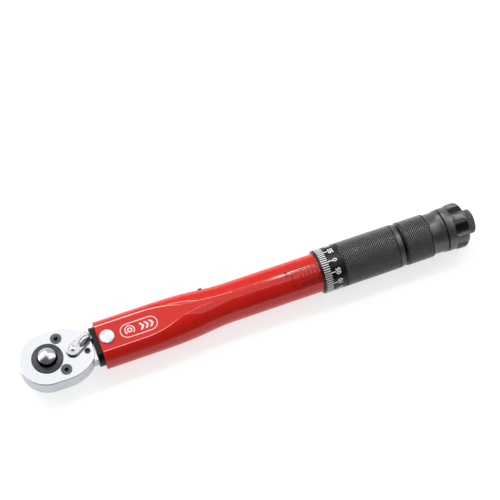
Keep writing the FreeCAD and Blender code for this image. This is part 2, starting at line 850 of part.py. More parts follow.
def section(x, inset, crease):
    """The tube's outline at x: flat above and below, round at the sides, drawn in by inset."""
    run = x - s.flare_start.value
    narrowing = smooth(run / s.side_flare_length.value)
    centre = s.side_centre_front.value * (1 - narrowing) + 0.02
    front = s.side_radius_front.value
    growth = smooth(run / s.round_flare_length.value)
    radius = front + (s.tube_radius.value - front) * growth - inset
    level = s.flat_level_front.value
    rise = smooth(run / s.flat_flare_length.value)
    level = level + (s.tube_radius.value - level) * rise - inset
    level = min(level, radius - 0.02)
    crease_side = centre + math.sqrt((radius - crease) ** 2 - (level - crease) ** 2)
    turn = math.atan2(level - crease, crease_side - centre)
    side = (centre + radius * math.cos(turn), radius * math.sin(turn))
    middle = (turn + math.pi / 2) / 2
    bend = (crease_side + crease * math.cos(middle), level - crease + crease * math.sin(middle))

    def spot(y, z):
        return Vector(x, y, z)

    edges = []
    for hand in (1, -1):
        far = centre + radius
        edges.append(Part.LineSegment(spot(-hand * crease_side, hand * level),
                                      spot(hand * crease_side, hand * level)))
        edges.append(Part.Arc(spot(hand * crease_side, hand * level),
                              spot(hand * bend[0], hand * bend[1]),
                              spot(hand * side[0], hand * side[1])))
        edges.append(Part.Arc(spot(hand * side[0], hand * side[1]), spot(hand * far, 0),
                              spot(hand * side[0], -hand * side[1])))
        edges.append(Part.Arc(spot(hand * side[0], -hand * side[1]),
                              spot(hand * bend[0], -hand * bend[1]),
                              spot(hand * crease_side, -hand * level)))
    return Part.Wire([edge.toShape() for edge in edges])


def tube_loft(start, finish, inset, crease):
    """A solid through the tube's sections from start to finish."""
    count = 13
    places = [start + (finish - start) * i / count for i in range(count + 1)]
    return Part.makeLoft([section(x, inset, crease) for x in places], True, False)


def make_outer_tube():
    """One drawn tube: flattened over the pivot, round behind it, turned down under the grip."""
    front = s.tube_front.value
    flare = s.flare_start.value
    join = s.round_from.value
    tail = s.tail_start.value
    end = s.tube_end.value
    radius = s.tube_radius.value
    wall = s.tube_wall.value
    crease = s.crease_radius.value
    inner = s.inner_crease_radius.value
    along = Vector(1, 0, 0)
    straight = Part.Face(section(front, 0, crease)).extrude(along * (flare - front))
    shank = Part.makeCylinder(radius, tail - join, Vector(join, 0, 0), along)
    slim = Part.makeCylinder(s.tail_radius.value, end - tail, Vector(tail, 0, 0), along)
    shape = straight.fuse([tube_loft(flare, join, 0, crease), shank, slim])
    hollow = Part.Face(section(front - 1, wall, inner)).extrude(along * (flare - front + 1))
    bore = Part.makeCylinder(radius - wall, end - s.bore_from.value + 1,
                             Vector(s.bore_from.value, 0, 0), along)
    shape = shape.cut(hollow).cut(tube_loft(flare, join - 6, wall, inner)).cut(bore)
    pin = Part.makeCylinder(s.pin_radius.value + GAP.value, 40, Vector(s.pivot_x.value, 0, -20))
    guide = Part.makeCylinder(s.guide_screw_radius.value + GAP.value, 30,
                              Vector(s.guide_screw_x.value, 0, 0), guide_direction())
    pins = Part.makeCylinder(s.nut_pin_radius.value + 0.02, 40,
                             Vector(s.nut_pin_x.value, -20, 0), Vector(0, 1, 0))
    thing = doc.addObject("Part::Feature", "tube_shape")
    thing.Shape = shape.cut([pin, guide, pins])
    return lift(thing, "outer_tube")


def guide_direction():
    """The direction of the plunger's guide screw, above the far side."""
    angle = math.radians(s.guide_screw_angle.value)
    return Vector(0, math.cos(angle), math.sin(angle))


def make_front_collar():
    """A dust collar that plugs the tube's mouth and leaves a slot for the neck to swing in."""
    front = s.collar_front.value
    mouth = s.tube_front.value
    plug = s.tube_wall.value + GAP.value
    lip = Part.Face(section(front, s.collar_inset.value, 0.6)).extrude(Vector(mouth - front, 0, 0))
    inner = Part.Face(section(mouth, plug, s.inner_crease_radius.value))
    inner = inner.extrude(Vector(s.collar_plug_end.value - mouth, 0, 0))
    outer_edges = [edge for edge in lip.Edges if edge.BoundBox.XMax < front + 1e-6]
    lip = lip.makeFillet(0.5, outer_edges)
    wide = s.neck_half_width.value + 0.4
    tall = s.neck_half_height.value + 0.25
    slot = Part.makeBox(8, 2 * wide, 2 * tall, Vector(front - 1, -wide, -tall))
    thing = doc.addObject("Part::Feature", "collar_shape")
    thing.Shape = lip.fuse(inner).cut(slot).removeSplitter()
    return lift(thing, "front_collar")


def make_pivot_pin():
    """The headed pin that the head swings on, with a groove for its clip."""
    flat = s.flat_level_front
    radius = s.pin_radius
    top = flat + s.pin_head_height + GAP
    body = turned("pin_blank", [
        (0, -flat - 1.4),
        (radius - 0.4, -flat - 1.4),
        (radius, -flat - 1.0),
        (radius, -flat - 0.7),
        (radius - 0.5, -flat - 0.7),
        (radius - 0.5, -flat - 0.05),
        (radius, -flat - 0.05),
        (radius, flat + GAP),
        (s.pin_head_radius, flat + GAP),
        (s.pin_head_radius, top - 0.25),
        (s.pin_head_radius - 0.25, top),
        (0, top),
    ], "V_Axis")
    return lift(body, "pivot_pin", s.pivot_x)


def make_pivot_clip():
    """A spring clip in the pin's groove, under the tube."""
    level = -s.flat_level_front - 0.65
    disc = cylinder("clip_disc", s.pin_radius + 1.6, Size(0.5, "0.5"), 0, 0, level)
    eye = cylinder("clip_eye", s.pin_radius - 0.45, Size(2, "2"), 0, 0, level - 1)
    mouth = box("clip_mouth", (0, 10), (-1.5, 1.5), (level - 1, level + 1))
    return lift(cut("clip_shape", disc, eye, mouth), "pivot_clip", s.pivot_x)


def make_pivot_washers():
    inner = s.pivot_boss_half_height + 0.03
    outer = s.flat_level_front - s.tube_wall - 0.03
    rings = []
    for hand, low in (("upper", inner), ("lower", -outer)):
        disc = cylinder(f"{hand}_washer_disc", s.pivot_boss_radius, outer - inner, 0, 0, low)
        eye = cylinder(f"{hand}_washer_eye", s.pin_radius + GAP, 4, 0, 0, low - 1)
        rings.append(cut(f"{hand}_washer", disc, eye))
    return lift(group("washer_pair", *rings), "pivot_washers", s.pivot_x)


# ---------------------------------------------------------------- click mechanism

def make_tilt_block():
    start = s.arm_end + GAP
    half = s.block_side / 2
    block = box("block_cube", (start, start + s.block_side), (-half, half), (-half, half))
    doc.recompute()
    rounded = doc.addObject("Part::Fillet", "block_edges")
    rounded.Base = block
    radius = s.block_edge_round.value
    rounded.Edges = [(i, radius, radius) for i, edge in enumerate(block.Shape.Edges, start=1)
                     if edge.BoundBox.ZLength > radius]
    return lift(group("block_group", rounded), "tilt_block")


def make_plunger():
    start = s.arm_end + s.block_side + GAP * 2
    radius = s.tube_radius - s.tube_wall - GAP
    cup = s.plunger_cup_radius
    body = turned("plunger_blank", [
        (start, 0),
        (start, radius - 0.5),
        (start + 0.5, radius),
        (s.plunger_end - 0.5, radius),
        (s.plunger_end, radius - 0.5),
        (s.plunger_end, cup),
        (s.plunger_end - s.plunger_cup_depth, cup),
        (s.plunger_end - s.plunger_cup_depth, 0),
    ])
    reach = s.guide_screw_radius + 0.15
    inner = s.guide_screw_inner - 0.2
    angle = math.radians(s.guide_screw_angle.value)
    across = Vector(0, -math.sin(angle), math.cos(angle))
    corner = guide_direction() * inner.value - across * reach.value
    slot = doc.addObject("Part::Box", "guide_slot")
    bind(slot, "Length", s.click_stroke + reach * 2 + 0.3)
    bind(slot, "Width", radius - inner + 1)
    bind(slot, "Height", reach * 2)
    move(slot, s.guide_screw_x - s.click_stroke - reach - 0.2, corner.y, corner.z,
         Rotation(Vector(1, 0, 0), s.guide_screw_angle.value))
    return lift(cut("plunger_shape", body, slot), "plunger")


def make_guide_screw():
    """A grub screw through the tube that keeps the plunger from turning."""
    turn = Rotation(Vector(0, 0, 1), guide_direction())
    length = s.guide_screw_outer - s.guide_screw_inner
    spot = guide_direction() * s.guide_screw_inner.value
    rod = cylinder("guide_rod", s.guide_screw_radius, length, s.guide_screw_x, spot.y, spot.z, turn)
    far = guide_direction() * (s.guide_screw_outer.value - 1.0)
    hexagon = doc.addObject("Part::Prism", "guide_socket")
    hexagon.Polygon = 6
    bind(hexagon, "Circumradius", s.guide_screw_radius / 2)
    hexagon.Height = 2
    move(hexagon, s.guide_screw_x, far.y, far.z, turn)
    return lift(cut("guide_shape", rod, hexagon), "guide_screw")


def make_main_spring():
    start = s.plunger_end - s.plunger_cup_depth + s.spring_wire_radius + 0.1
    length = s.seat_front - start - s.spring_wire_radius - 0.1
    spring = coil("main_coil", s.spring_mean_radius, s.spring_wire_radius, s.spring_pitch, length,
                  start, 0, 0, ALONG_X)
    return lift(group("main_spring_group", spring), "main_spring")


def make_spring_seat():
    body = turned("seat_blank", [
        (s.seat_front - s.seat_boss_length, 0),
        (s.seat_front - s.seat_boss_length, s.seat_boss_radius - 0.6),
        (s.seat_front - s.seat_boss_length + 0.6, s.seat_boss_radius),
        (s.seat_front, s.seat_boss_radius),
        (s.seat_front, s.seat_radius - 0.3),
        (s.seat_front + 0.3, s.seat_radius),
        (s.seat_flange_end, s.seat_radius),
        (s.seat_flange_end, 0),
    ])
    return lift(body, "spring_seat")


def ring_piece(label, start, end, inner, outer):
    """A plain ring about the tube's axis."""
    body = turned(label + "_blank", [(start, inner), (start, outer), (end, outer), (end, inner)])
    return lift(body, label)


# ---------------------------------------------------------------- torque setting

def make_adjusting_screw():
    """The hollow setting screw with a hexagonal tail that the grip turns."""
    bore = s.screw_bore_radius
    body = turned("screw_blank", [
        (s.washer_end + GAP, bore),
        (s.washer_end + GAP, s.thread_radius - 0.5),
        (s.washer_end + 0.55, s.thread_radius),
        (s.thread_end, s.thread_radius),
        (s.thread_end, bore),
    ])
    tail = doc.addObject("Part::Prism", "hex_tail")
    tail.Polygon = 6
    bind(tail, "Circumradius", s.hex_circumradius)
    bind(tail, "Height", s.hex_end - s.thread_end)
    move(tail, s.thread_end, 0, 0, ALONG_X)
    tail_bore = cylinder("hex_tail_bore", bore, 12, s.thread_end - 1, 0, 0, ALONG_X)
    clip_seat = cylinder("clip_seat_outer", s.thread_radius + 1, Size(1.2, "1.2"),
                         s.web_end + 0.05, 0, 0, ALONG_X)
    clip_core = cylinder("clip_seat_core", Size(3.9, "3.9"), Size(4, "4"), s.web_end - 1, 0, 0,
                         ALONG_X)
    groove = cut("clip_groove", clip_seat, clip_core)
    window = cylinder("lock_ball_window", s.lock_ball_radius + GAP, 8, s.lock_ball_x, 0, 0)
    whole = fuse("screw_with_tail", body, cut("hex_tail_hollow", tail, tail_bore))
    return lift(cut("screw_shape", whole, groove, window), "adjusting_screw")


def make_tube_nut():
    """The threaded bush pinned in the end of the tube."""
    radius = s.tube_radius - s.tube_wall - 0.02
    inner = s.thread_radius + GAP
    body = turned("nut_blank", [
        (s.nut_front, inner),
        (s.nut_front, radius - 0.4),
        (s.nut_front + 0.4, radius),
        (s.tube_end, radius),
        (s.tube_end, inner),
    ])
    hole = cylinder("nut_pin_hole", s.nut_pin_radius + 0.02, 40, s.nut_pin_x, -20, 0,
                    towards(0, 1, 0))
    return lift(cut("nut_shape", body, hole), "tube_nut")


def make_nut_pins():
    length = s.tail_radius - s.thread_radius - 0.6
    start = s.thread_radius + 0.5
    far = cylinder("far_nut_pin", s.nut_pin_radius, length, s.nut_pin_x, start, 0,
                   towards(0, 1, 0))
    near = cylinder("near_nut_pin", s.nut_pin_radius, length, s.nut_pin_x, -start, 0,
                    towards(0, -1, 0))
    return lift(group("nut_pin_pair", far, near), "nut_pins")


def make_scale_thimble():
    """The ring that carries the fine torque scale, with a bevelled front lip."""
    inner = s.sleeve_bore_radius
    socket = s.spigot_radius + 0.02
    bevel = s.thimble_bevel
    body = turned("thimble_blank", [
        (s.thimble_front, inner),
        (s.thimble_front, s.grip_radius - bevel),
        (s.thimble_front + bevel, s.grip_radius),
        (s.thimble_end - 0.3, s.grip_radius),
        (s.thimble_end, s.grip_radius - 0.3),
        (s.thimble_end, socket),
        (s.spigot_start - 0.1, socket),
        (s.spigot_start - 0.1, inner),
    ])
    return lift(body, "scale_thimble")


def make_grip_sleeve():
    """The handle: a spigot for the thimble, two gripping bands with a groove, and a waist."""
    inner = s.sleeve_bore_radius
    outer = s.grip_radius
    body = turned("grip_blank", [
        (s.spigot_start, inner),
        (s.spigot_start, s.spigot_radius),
        (s.grip_start, s.spigot_radius),
        (s.grip_start, outer - 0.4),
        (s.grip_start + 0.4, outer),
        (s.groove_start - 0.5, outer),
        (s.groove_start + 0.2, outer - 0.3),
        (s.groove_start + 0.2, s.groove_radius + 0.4),
        (s.groove_start + 0.6, s.groove_radius),
        (s.groove_end - 0.6, s.groove_radius),
        (s.groove_end - 0.2, s.groove_radius + 0.4),
        (s.groove_end - 0.2, outer - 0.3),
        (s.groove_end + 0.1, outer),
        (s.waist_start - 0.2, outer),
        (s.waist_start + 0.7, s.waist_radius),
        (s.waist_end, s.waist_radius),
        (s.waist_end + 1.0, s.waist_radius + 0.25),
        (s.grip_end - 0.6, outer - 0.2),
        (s.grip_end, outer - 0.3),
        (s.grip_end, s.chamber_radius),
        (s.web_end, s.chamber_radius),
        (s.web_end, 0),
        (s.web_start, 0),
        (s.web_start, s.rear_bore_radius),
        (s.rear_bore_start, s.rear_bore_radius),
        (s.rear_bore_start, inner),
    ])
    socket = doc.addObject("Part::Prism", "hex_socket")
    socket.Polygon = 6
    bind(socket, "Circumradius", s.hex_circumradius + 0.03)
    bind(socket, "Height", s.web_end - s.web_start + 2)
    move(socket, s.web_start - 1, 0, 0, ALONG_X)
    return lift(cut("grip_shape", body, socket), "grip_sleeve")


def make_screw_clip():
    """A spring clip that keeps the grip on the setting screw's tail."""
    start = s.web_end + 0.15
    disc = cylinder("screw_clip_disc", Size(6.8, "6.8"), Size(1.0, "1.0"), start, 0, 0, ALONG_X)
    eye = cylinder("screw_clip_eye", Size(3.95, "3.95"), Size(3, "3"), start - 1, 0, 0, ALONG_X)
    mouth = box("screw_clip_mouth", (start - 1, start + 2), (-2.4, 2.4), (-9.0, 0))
    return lift(cut("screw_clip_shape", disc, eye, mouth), "screw_clip")


# ---------------------------------------------------------------- lock

def make_lock_rod():
    """The rod through the setting screw, with a cone that presses the lock ball outwards."""
    tail = s.rod_tail_radius
    body = turned("rod_blank", [
        (s.lock_ball_x - 4.5, 0),
        (s.lock_ball_x - 4.5, 0.9),
        (s.lock_ball_x - 2.4, 0.9),
        (s.lock_ball_x + 0.4, s.rod_radius),
        (s.hex_end + 2.0, s.rod_radius),
        (s.hex_end + 2.0, s.rod_thread_radius),
        (s.knob_start + 2.6, s.rod_thread_radius),
        (s.knob_start + 2.6, tail),
        (s.cap_end - 2.6, tail),
        (s.cap_end - 2.6, 0),
    ])
    return lift(body, "lock_rod")


def make_lock_ball():
    ball = sphere("lock_ball_shape", s.lock_ball_radius, s.lock_ball_x, 0, s.lock_ball_offset)
    return lift(group("lock_ball_group", ball), "lock_ball")


def make_lock_knob():
    """A six-lobed knob: a plain collar in front, six scallops behind it."""
    collar = s.knob_collar_radius
    lobe = s.lobe_radius
    seat = s.knob_start + 2.6
    body = turned("knob_blank", [
        (s.knob_start, s.rod_thread_radius + GAP),
        (s.knob_start, collar - 0.5),
        (s.knob_start + 0.5, collar),
        (s.lobe_start - 0.6, collar),
        (s.lobe_start + 1.6, lobe),
        (s.knob_end - 3.4, lobe),
        (s.knob_end - 0.9, lobe - 1.5, -Size(4.2, "4.2")),
        (s.knob_end, lobe - 4.0, -Size(4.2, "4.2")),
        (s.knob_end, s.rod_tail_radius + GAP),
        (seat + GAP, s.rod_tail_radius + GAP),
        (seat + GAP, s.rod_thread_radius + GAP),
    ])
    doc.recompute()
    sketch = new_sketch(body, "YZ_Plane", "scallop_outline", s.lobe_start)
    turn = math.radians(s.scallop_angle.value)
    reach = s.scallop_floor + s.scallop_radius
    circles(sketch, s.scallop_radius, (reach * math.cos(turn), reach * math.sin(turn)))
    scallop = feature(body, "Pocket", "scallop", sketch, s.knob_end - s.lobe_start + 1, True)
    ring = body.newObject("PartDesign::PolarPattern", "scallops")
    ring.Originals = [scallop]
    ring.Axis = (sketch, ["N_Axis"])
    ring.Angle = 360
    ring.Occurrences = 6
    body.Tip = ring
    return lift(body, "lock_knob")


def make_end_cap():
    """The domed cap nut that holds the knob against the rod's shoulder."""
    radius = s.cap_radius
    bore = s.rod_tail_radius + GAP
    body = turned("cap_blank", [
        (s.cap_start, bore),
        (s.cap_start, radius - 0.3),
        (s.cap_start + 0.3, radius),
        (s.cap_end - 2.0, radius),
        (s.cap_end - 1.0, radius - 1.6, -Size(2.2, "2.2")),
        (s.cap_end, 0, -Size(16.0, "16")),
        (s.cap_end - 2.5, 0),
        (s.cap_end - 2.5, bore),
    ])
    return lift(body, "end_cap")


# ---------------------------------------------------------------- build

def build():
    make_head_body()
    make_cover_plate()
    make_cover_screws()
    make_drive_gear()
    make_release_button()
    make_button_spring()
    make_socket_ball()
    make_reverse_lever()
    make_lever_shaft()
    make_lever_plunger()
    make_plunger_spring()
    make_detent_ball()
    make_detent_spring()
    make_pawl()
    make_outer_tube()
    make_front_collar()
    make_pivot_pin()
    make_pivot_clip()
    make_pivot_washers()
    make_tilt_block()
    make_plunger()
    make_guide_screw()
    make_main_spring()
    make_spring_seat()
    ring_piece("thrust_washer", s.seat_flange_end + 0.02, s.washer_end,
               s.rod_radius * 1.5, s.seat_radius - 0.6)
    make_adjusting_screw()
    make_tube_nut()
    make_nut_pins()
    make_scale_thimble()
    make_grip_sleeve()
    make_screw_clip()
    make_lock_rod()
    make_lock_ball()
    ring_piece("lock_bush", s.bush_start, s.grip_end - 0.2, s.rod_thread_radius + GAP,
               s.chamber_radius - 0.03)
    make_lock_knob()
    ring_piece("knob_washer", s.knob_end + 0.02, s.cap_start - 0.02, s.rod_tail_radius + GAP,
               s.cap_radius - 0.2)
    make_end_cap()


def check_and_write():
    """Refuses a failed object or an unusable shape, then writes one file for each sub-part."""
    doc.recompute()
    for thing in doc.Objects:
        if "Invalid" in thing.State or "Error" in thing.State:
            raise RuntimeError(f"{thing.Name} failed: {thing.State}")
    for piece in pieces:
        shape = piece.Shape
        if shape.isNull() or not shape.isValid() or not shape.Solids:
            raise RuntimeError(f"{piece.Label} has no usable shape")
    os.makedirs("parts", exist_ok=True)
    for piece in pieces:
        piece.Shape.exportStep(f"parts/{piece.Label}.step")


build()
check_and_write()
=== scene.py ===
"""The looks of a click-type torque wrench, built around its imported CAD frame. Lengths are in metres."""
import math

import bmesh
import bpy
from mathutils import Matrix, Vector


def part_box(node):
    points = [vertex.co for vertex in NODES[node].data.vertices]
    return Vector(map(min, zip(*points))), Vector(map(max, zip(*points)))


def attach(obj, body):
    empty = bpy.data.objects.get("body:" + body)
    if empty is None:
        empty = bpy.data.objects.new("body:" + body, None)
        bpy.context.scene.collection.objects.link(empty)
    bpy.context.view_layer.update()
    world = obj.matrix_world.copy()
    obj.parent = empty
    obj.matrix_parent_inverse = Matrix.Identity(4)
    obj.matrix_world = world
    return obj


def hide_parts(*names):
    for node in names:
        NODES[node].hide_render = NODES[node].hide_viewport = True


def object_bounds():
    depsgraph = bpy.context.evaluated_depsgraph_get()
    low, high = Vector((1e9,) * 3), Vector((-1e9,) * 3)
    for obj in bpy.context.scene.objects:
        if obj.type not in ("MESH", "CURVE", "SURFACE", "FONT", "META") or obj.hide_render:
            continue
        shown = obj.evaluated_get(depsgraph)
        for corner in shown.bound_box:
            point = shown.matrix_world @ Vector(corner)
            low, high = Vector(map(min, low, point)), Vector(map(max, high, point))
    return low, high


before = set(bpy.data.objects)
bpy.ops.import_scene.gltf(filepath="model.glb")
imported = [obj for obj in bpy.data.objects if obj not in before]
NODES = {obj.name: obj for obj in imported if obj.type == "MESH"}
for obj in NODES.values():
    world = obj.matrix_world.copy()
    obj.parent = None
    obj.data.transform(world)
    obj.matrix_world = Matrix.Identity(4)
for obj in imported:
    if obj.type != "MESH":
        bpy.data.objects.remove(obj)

bpy.context.view_layer.update()
CAD_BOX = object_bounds()
MM = 0.001
QUARTER = math.pi / 2


def spans(node):
    """A node's x range and its largest radius from its own middle height."""
    low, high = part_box(node)
    return low.x, high.x, (high.z - low.z) / 2


THIMBLE_START, THIMBLE_END, GRIP_RADIUS = spans("scale_thimble")
SPIGOT_START, GRIP_END, _ = spans("grip_sleeve")
TUBE_START, TUBE_END, TUBE_RADIUS = spans("outer_tube")
KNOB_START, KNOB_END, KNOB_RADIUS = spans("lock_knob")
AXIS_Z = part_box("outer_tube")[1].z - TUBE_RADIUS
FLOOR_Z = CAD_BOX[0].z - 0.2 * MM
# The open hole in the head's top face, beside the lever
DETENT_HOLE = (22.33 * MM, -3.22 * MM)


# ---------------------------------------------------------------- materials

def new_material(name, metallic, coat=0.0):
    """A node material with its shader, its node tree and the object's own coordinates."""
    material = bpy.data.materials.new(name)
    material.use_nodes = True
    tree = material.node_tree
    shader = tree.nodes["Principled BSDF"]
    shader.inputs["Metallic"].default_value = metallic
    shader.inputs["Coat Weight"].default_value = coat
    shader.inputs["Coat Roughness"].default_value = 0.04
    place = tree.nodes.new("ShaderNodeTexCoord").outputs["Object"]
    return material, tree, shader, place


def math_node(tree, operation, first, second=None):
    """One sum on values or plain numbers."""
    node = tree.nodes.new("ShaderNodeMath")
    node.operation = operation
    for socket, value in zip(node.inputs, (first, second)):
        if value is None:
            continue
        if isinstance(value, (int, float)):
            socket.default_value = value
        else:
            tree.links.new(value, socket)
    return node.outputs[0]


def stretched(tree, place, scale):
    """The coordinates multiplied by a scale for each axis."""
    node = tree.nodes.new("ShaderNodeMapping")
    node.inputs["Scale"].default_value = scale
    tree.links.new(place, node.inputs["Vector"])
    return node.outputs[0]


def noise(tree, place, scale, detail=3.0, stretch=(1, 1, 1)):
    """Noise from 0 to 1; scale is in features to the metre."""
    node = tree.nodes.new("ShaderNodeTexNoise")
    node.inputs["Scale"].default_value = scale
    node.inputs["Detail"].default_value = detail
    tree.links.new(stretched(tree, place, stretch), node.inputs["Vector"])
    return node.outputs["Fac"]


def axes(tree, place):
    """The three coordinates on their own."""
    node = tree.nodes.new("ShaderNodeSeparateXYZ")
    tree.links.new(place, node.inputs[0])
    return node.outputs


def diagonal(tree, *sides):
    """The length across two sides that stand square to each other."""
    squares = [math_node(tree, "MULTIPLY", side, side) for side in sides]
    return math_node(tree, "SQRT", math_node(tree, "ADD", *squares))


def distance_from(tree, place, centre):
    """The distance from an upright line through a point."""
    parts = axes(tree, place)
    return diagonal(tree, *[math_node(tree, "SUBTRACT", parts[i], centre[i]) for i in range(2)])


def axis_distance(tree, place):
    """The distance from the long axis."""
    parts = axes(tree, place)
    return diagonal(tree, math_node(tree, "SUBTRACT", parts[2], AXIS_Z), parts[1])


def share(tree, value, low, high):
    """Where a value stands between two others, from 0 to 1."""
    node = tree.nodes.new("ShaderNodeMapRange")
    node.inputs["From Min"].default_value = low
    node.inputs["From Max"].default_value = high
    tree.links.new(value, node.inputs["Value"])
    return node.outputs[0]


def waves(tree, distance, pitch):
    """Turning lines, from -1 to 1."""
    return math_node(tree, "SINE", math_node(tree, "MULTIPLY", distance, 2 * math.pi / pitch))


def rings(tree, place, pitch, centre=(0, 0)):
    """Turning lines round an upright axis."""
    return waves(tree, distance_from(tree, place, centre), pitch)


def along_x(tree, place, pitch):
    """Turning lines round the long axis."""
    return waves(tree, axes(tree, place)[0], pitch)


def vary(tree, shader, value, name, low, high, start=0.3, end=0.7):
    """Drives one number of the shader between two values as the value goes from start to end."""
    node = tree.nodes.new("ShaderNodeMapRange")
    node.inputs["From Min"].default_value = start
    node.inputs["From Max"].default_value = end
    node.inputs["To Min"].default_value = low
    node.inputs["To Max"].default_value = high
    tree.links.new(value, node.inputs["Value"])
    tree.links.new(node.outputs[0], shader.inputs[name])


def tint(tree, shader, value, first, second):
    """Mixes two colours into the base colour."""
    ramp = tree.nodes.new("ShaderNodeValToRGB")
    ramp.color_ramp.elements[0].position = 0.3
    ramp.color_ramp.elements[1].position = 0.7
    ramp.color_ramp.elements[0].color = (*first, 1)
    ramp.color_ramp.elements[1].color = (*second, 1)
    tree.links.new(value, ramp.inputs["Fac"])
    tree.links.new(ramp.outputs["Color"], shader.inputs["Base Color"])


def bumps(tree, shader, *layers):
    """Adds relief: each layer is a value and its height in metres."""
    normal = None
    for value, height in layers:
        node = tree.nodes.new("ShaderNodeBump")
        node.inputs["Strength"].default_value = 1.0
        node.inputs["Distance"].default_value = height
        tree.links.new(value, node.inputs["Height"])
        if normal:
            tree.links.new(normal, node.inputs["Normal"])
        normal = node.outputs[0]
    tree.links.new(normal, shader.inputs["Normal"])
    return normal


def facing(tree):
    """How far a surface faces up, 1 for a level one."""
    return axes(tree, tree.nodes.new("ShaderNodeTexCoord").outputs["Normal"])[2]


def painted_light_by_facing(tree, stops):
    """Painted light and shade: a colour that depends on how far a surface faces up; the stops rise from 0
    to 1.
    """
    ramp = tree.nodes.new("ShaderNodeValToRGB")
    for i, (height, color) in enumerate(stops):
        stop = ramp.color_ramp.elements[i] if i < 2 else ramp.color_ramp.elements.new(1.0)
        stop.position = height
        stop.color = (*color, 1)
    tree.links.new(facing(tree), ramp.inputs["Fac"])
    return ramp.outputs["Color"]


def darken_round_hole(tree, shader, place, color, spot):
    """Darkens the colour to a dark brown round an upright hole, fading out between two distances from it.
    """
    brown = (0.06, 0.045, 0.03, 1)
    core, edge = 1.2 * MM, 2.3 * MM
    mix = tree.nodes.new("ShaderNodeMix")
    mix.data_type = "RGBA"
    mix.inputs["B"].default_value = brown
    tree.links.new(share(tree, distance_from(tree, place, spot), edge, core), mix.inputs["Factor"])
    tree.links.new(color, mix.inputs["A"])
    tree.links.new(mix.outputs["Result"], shader.inputs["Base Color"])


def satin_chrome():
    """Polished on top, blasted and duller on the sides; its colour, lighter on top and darker on the
    sides, is painted light and painted shade that follow the way a surface faces.
    """
    material, tree, shader, place = new_material("satin_chrome", 1)
    fine = noise(tree, place, 900)
    cloud = noise(tree, place, 90, 2)
    vary(tree, shader, facing(tree), "Roughness", 0.5, 0.13, 0.9, 0.99)
    # Painted light and painted shade: the colour follows how far a surface faces up
    chrome = painted_light_by_facing(tree, [(0.0, (0.56, 0.57, 0.60)), (0.35, (0.64, 0.65, 0.68)),
                              (0.8, (0.80, 0.82, 0.86)), (0.97, (0.80, 0.81, 0.84)),
                              (0.999, (0.70, 0.715, 0.745))])
    darken_round_hole(tree, shader, place, chrome, DETENT_HOLE)
    bumps(tree, shader, (fine, 0.004 * MM), (cloud, 0.02 * MM))
    return material


def bright_chrome():
    """Mirror chrome, a little worn; its colour, dark on the sides and light on top, is painted shade and
    painted light that follow the way a surface faces.
    """
    material, tree, shader, place = new_material("bright_chrome", 1)
    cloud = noise(tree, place, 150, 2)
    vary(tree, shader, cloud, "Roughness", 0.19, 0.25)
    # Painted shade on the sides and painted light on top, by the way a surface faces
    chrome = painted_light_by_facing(tree, [(0.0, (0.16, 0.16, 0.18)), (0.5, (0.42, 0.42, 0.45)),
                              (0.93, (0.70, 0.70, 0.72)), (0.999, (0.50, 0.50, 0.52))])
    tree.links.new(chrome, shader.inputs["Base Color"])
    bumps(tree, shader, (cloud, 0.015 * MM))
    return material


def ring_steel():
    """Dark turned steel."""
    material, tree, shader, place = new_material("ring_steel", 1)
    cloud = noise(tree, place, 500)
    vary(tree, shader, cloud, "Roughness", 0.26, 0.4)
    tint(tree, shader, cloud, (0.04, 0.041, 0.045), (0.062, 0.064, 0.068))
    bumps(tree, shader, (rings(tree, place, 0.45 * MM), 0.012 * MM), (cloud, 0.01 * MM))
    return material


def black_oxide():
    """Black screws with painted shade: their sockets turn near black below the lip."""
    material, tree, shader, place = new_material("black_oxide", 0.8)
    cloud = noise(tree, place, 700)
    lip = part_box("cover_screws")[1].z - 0.3 * MM
    depth = 0.5 * MM
    vary(tree, shader, cloud, "Roughness", 0.3, 0.45)
    # Painted shade: the colour turns near black down inside the sockets
    tint(tree, shader, share(tree, axes(tree, place)[2], lip - depth, lip),
         (0.001, 0.001, 0.001), (0.075, 0.083, 0.077))
    bumps(tree, shader, (cloud, 0.02 * MM))
    return material


def red_paint():
    """Thick glossy paint with a slight peel."""
    material, tree, shader, place = new_material("red_paint", 0, 0.85)
    peel = noise(tree, place, 260, 2)
    cloud = noise(tree, place, 30, 2)
    tint(tree, shader, cloud, (0.57, 0.010, 0.006), (0.61, 0.014, 0.008))
    shader.inputs["Specular IOR Level"].default_value = 0.0
    vary(tree, shader, peel, "Roughness", 0.3, 0.4)
    skin = bumps(tree, shader, (peel, 0.002 * MM))
    tree.links.new(skin, shader.inputs["Coat Normal"])
    return material


def painted_crease_highlight():
    """A painted highlight: the paint turned pale pink along the creases, where the light would catch them.
    """
    material, tree, shader, place = new_material("painted_crease_highlight", 0, 1.0)
    peel = noise(tree, place, 300, 2)
    # Painted highlight colours
    tint(tree, shader, peel, (0.95, 0.50, 0.45), (0.98, 0.66, 0.62))
    vary(tree, shader, peel, "Roughness", 0.25, 0.35)
    return material


def satin_white():
    """A pale turned disc."""
    material, tree, shader, place = new_material("satin_white", 0.85)
    cloud = noise(tree, place, 800)
    vary(tree, shader, cloud, "Roughness", 0.18, 0.26)
    tint(tree, shader, cloud, (0.47, 0.485, 0.50), (0.50, 0.51, 0.525))
    pin = (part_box("pivot_pin")[0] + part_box("pivot_pin")[1]) / 2
    bumps(tree, shader, (rings(tree, place, 0.3 * MM, (pin.x, pin.y)), 0.003 * MM))
    return material


def black_rubber():
    """Dull black rubber with a fine grain."""
    material, tree, shader, place = new_material("black_rubber", 0)
    grain = noise(tree, place, 1500)
    shader.inputs["Specular IOR Level"].default_value = 0.22
    vary(tree, shader, grain, "Roughness", 0.22, 0.34)
    tint(tree, shader, grain, (0.002, 0.003, 0.003), (0.005, 0.006, 0.006))
    bumps(tree, shader, (grain, 0.02 * MM))
    return material


